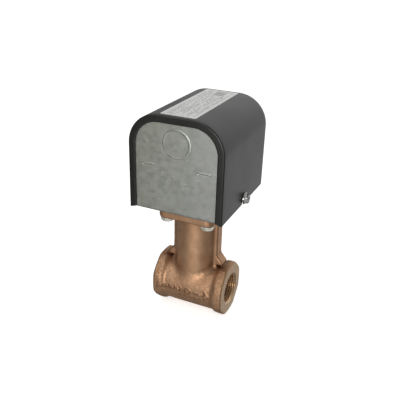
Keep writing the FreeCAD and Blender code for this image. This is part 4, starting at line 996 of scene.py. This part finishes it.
def bellows():
    """Thin convoluted tube that hangs from its flange and bends with the arm."""
    low, high = mm("bellows")
    folds, fold_steps, root, crest, rim = 6, 12, 6.2, 8.8, high.x
    wall, around = 0.3, 64
    top = high.z - 0.9
    line = [(rim, high.z), (rim, high.z - 0.8)]
    for k in range(folds * fold_steps + 1):
        z = top - (top - low.z) * k / (folds * fold_steps)
        swell = math.cos(2 * math.pi * k / fold_steps)
        line.append(((root + crest) / 2 - (crest - root) / 2 * swell, z))
    line += [(r - wall, z) for r, z in reversed(line[2:])]
    line.append((line[-1][0], high.z))
    angles = [2 * math.pi * j / around for j in range(around)]
    points = [(r * math.cos(a), r * math.sin(a), z) for r, z in line for a in angles]
    seal = piece("bellows_skin", points, tube_faces(len(line), around, wrap=True), "brass_part", None,
                 ["bellows"], sharp=40)
    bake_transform(seal)


def hex_screw(node, name, body, axis, sign, spots, apothem, washer, seat, crown, tip, shank):
    """Washer-head hexagon screws: rolled washer, hexagon with a turned corner, dished face, shank.

    Axis is the letter along the screw and sign points to its head. Seat, crown and tip are heights along it.
    """
    around = 48
    angle = np.linspace(0, 2 * math.pi, around, endpoint=False)
    sixth = math.pi / 3
    hexagon = apothem / np.cos((angle + sixth / 2) % sixth - sixth / 2)
    corner = 1.155
    thick = 0.28 * (crown - seat)
    rim = washer - 0.2
    neck = seat + thick
    profile = [(tip, shank - 0.35), (tip + 0.35 * sign, shank), (seat, shank), (seat, rim),
               (seat + 0.12 * sign, washer), (seat + 0.6 * thick, washer), (seat + 0.9 * thick, rim),
               (neck, rim - 0.25)]
    rings = [(h, np.full(around, r)) for h, r in profile]
    rings.append((neck + 0.12 * sign, hexagon + 0.12))
    rings.append((neck + 0.35 * sign, hexagon))
    for share in (0.0, 0.4, 0.75, 1.0):
        turned = apothem * (corner - (corner - 1) * share ** 2)
        rings.append((crown - (1 - share) * 0.55 * sign, np.minimum(hexagon, turned)))
    for sunk, share in ((0.0, 0.88), (0.3, 0.6), (0.34, 0.1)):
        rings.append((crown - sunk * sign, np.full(around, apothem * share)))
    points, faces = [], []
    shell = tube_faces(len(rings), around)
    if sign < 0:
        shell = [tuple(reversed(f)) for f in shell]
    for a, b in spots:
        faces += [tuple(len(points) + k for k in f) for f in shell]
        for h, r in rings:
            points += [along_axis(axis, h, a + q * math.cos(t), b + q * math.sin(t)) for t, q in zip(angle, r)]
    return piece(name, points, faces, "zinc_screw", body, [node], sharp=38)


def driver_slots(screw, axis, sign, spot, apothem, crown):
    """A slot across a screw's head and a short one across that."""
    a, b = spot
    bars = []
    for half_u, half_v, deep in ((0.45, apothem + 1, 0.9), (apothem * 0.62, 0.5, 1.3)):
        outline = [(a - half_u, b - half_v), (a + half_u, b - half_v), (a + half_u, b + half_v),
                   (a - half_u, b + half_v)]
        bars.append(prism(outline, axis, crown - deep * sign, crown + sign))
    cut(screw, bars)
    screw.data.set_sharp_from_angle(angle=math.radians(38))


def screws():
    cover_apothem, flange_apothem = 3.6, 4.4
    for side, sign in (("right", 1), ("left", -1)):
        node = "cover_screw_" + side
        low, high = mm(node)
        spot = screw_spot(node)
        tip, crown = (low.x, high.x) if sign > 0 else (high.x, low.x)
        seat = sign * (COVER_HIGH.x + 0.3)
        screw = hex_screw(node, "washer_screw_" + side, "screw_" + side, "X", sign, [spot], cover_apothem,
                          (high.z - low.z) / 2, seat, crown, tip, 2.0)
        screw.data.materials[0] = FINISHES["bright_zinc"]
        driver_slots(screw, "X", sign, spot, cover_apothem, crown)
    low, high = mm("flange_screws")
    hex_screw("flange_screws", "flange_hex_screws", "frame", "Z", -1, BOLTS, flange_apothem,
              high.y - BOLTS[1][1], FLANGE_Z - 0.02, low.z, high.z, 3.1)


def ease_edges():
    """A small bevel on every plain CAD part that still shows."""
    sizes = {"adapter_plate": 0.4, "switch_case": 0.25, "switch_lid": 0.3}
    for name, node in NODES.items():
        if node.hide_render or name in ("body_gasket", "switch_insulator"):
            continue
        bevel = node.modifiers.new("edges", "BEVEL")
        bevel.width = sizes.get(name, 0.15) * MM
        bevel.segments = 2
        bevel.limit_method = "ANGLE"
        bevel.angle_limit = math.radians(40)
        bevel.use_clamp_overlap = True


casting()
port_threads()
cover_shell()
chassis_sheet()
label()
range_spring()
bellows()
screws()
ease_edges()
studio()
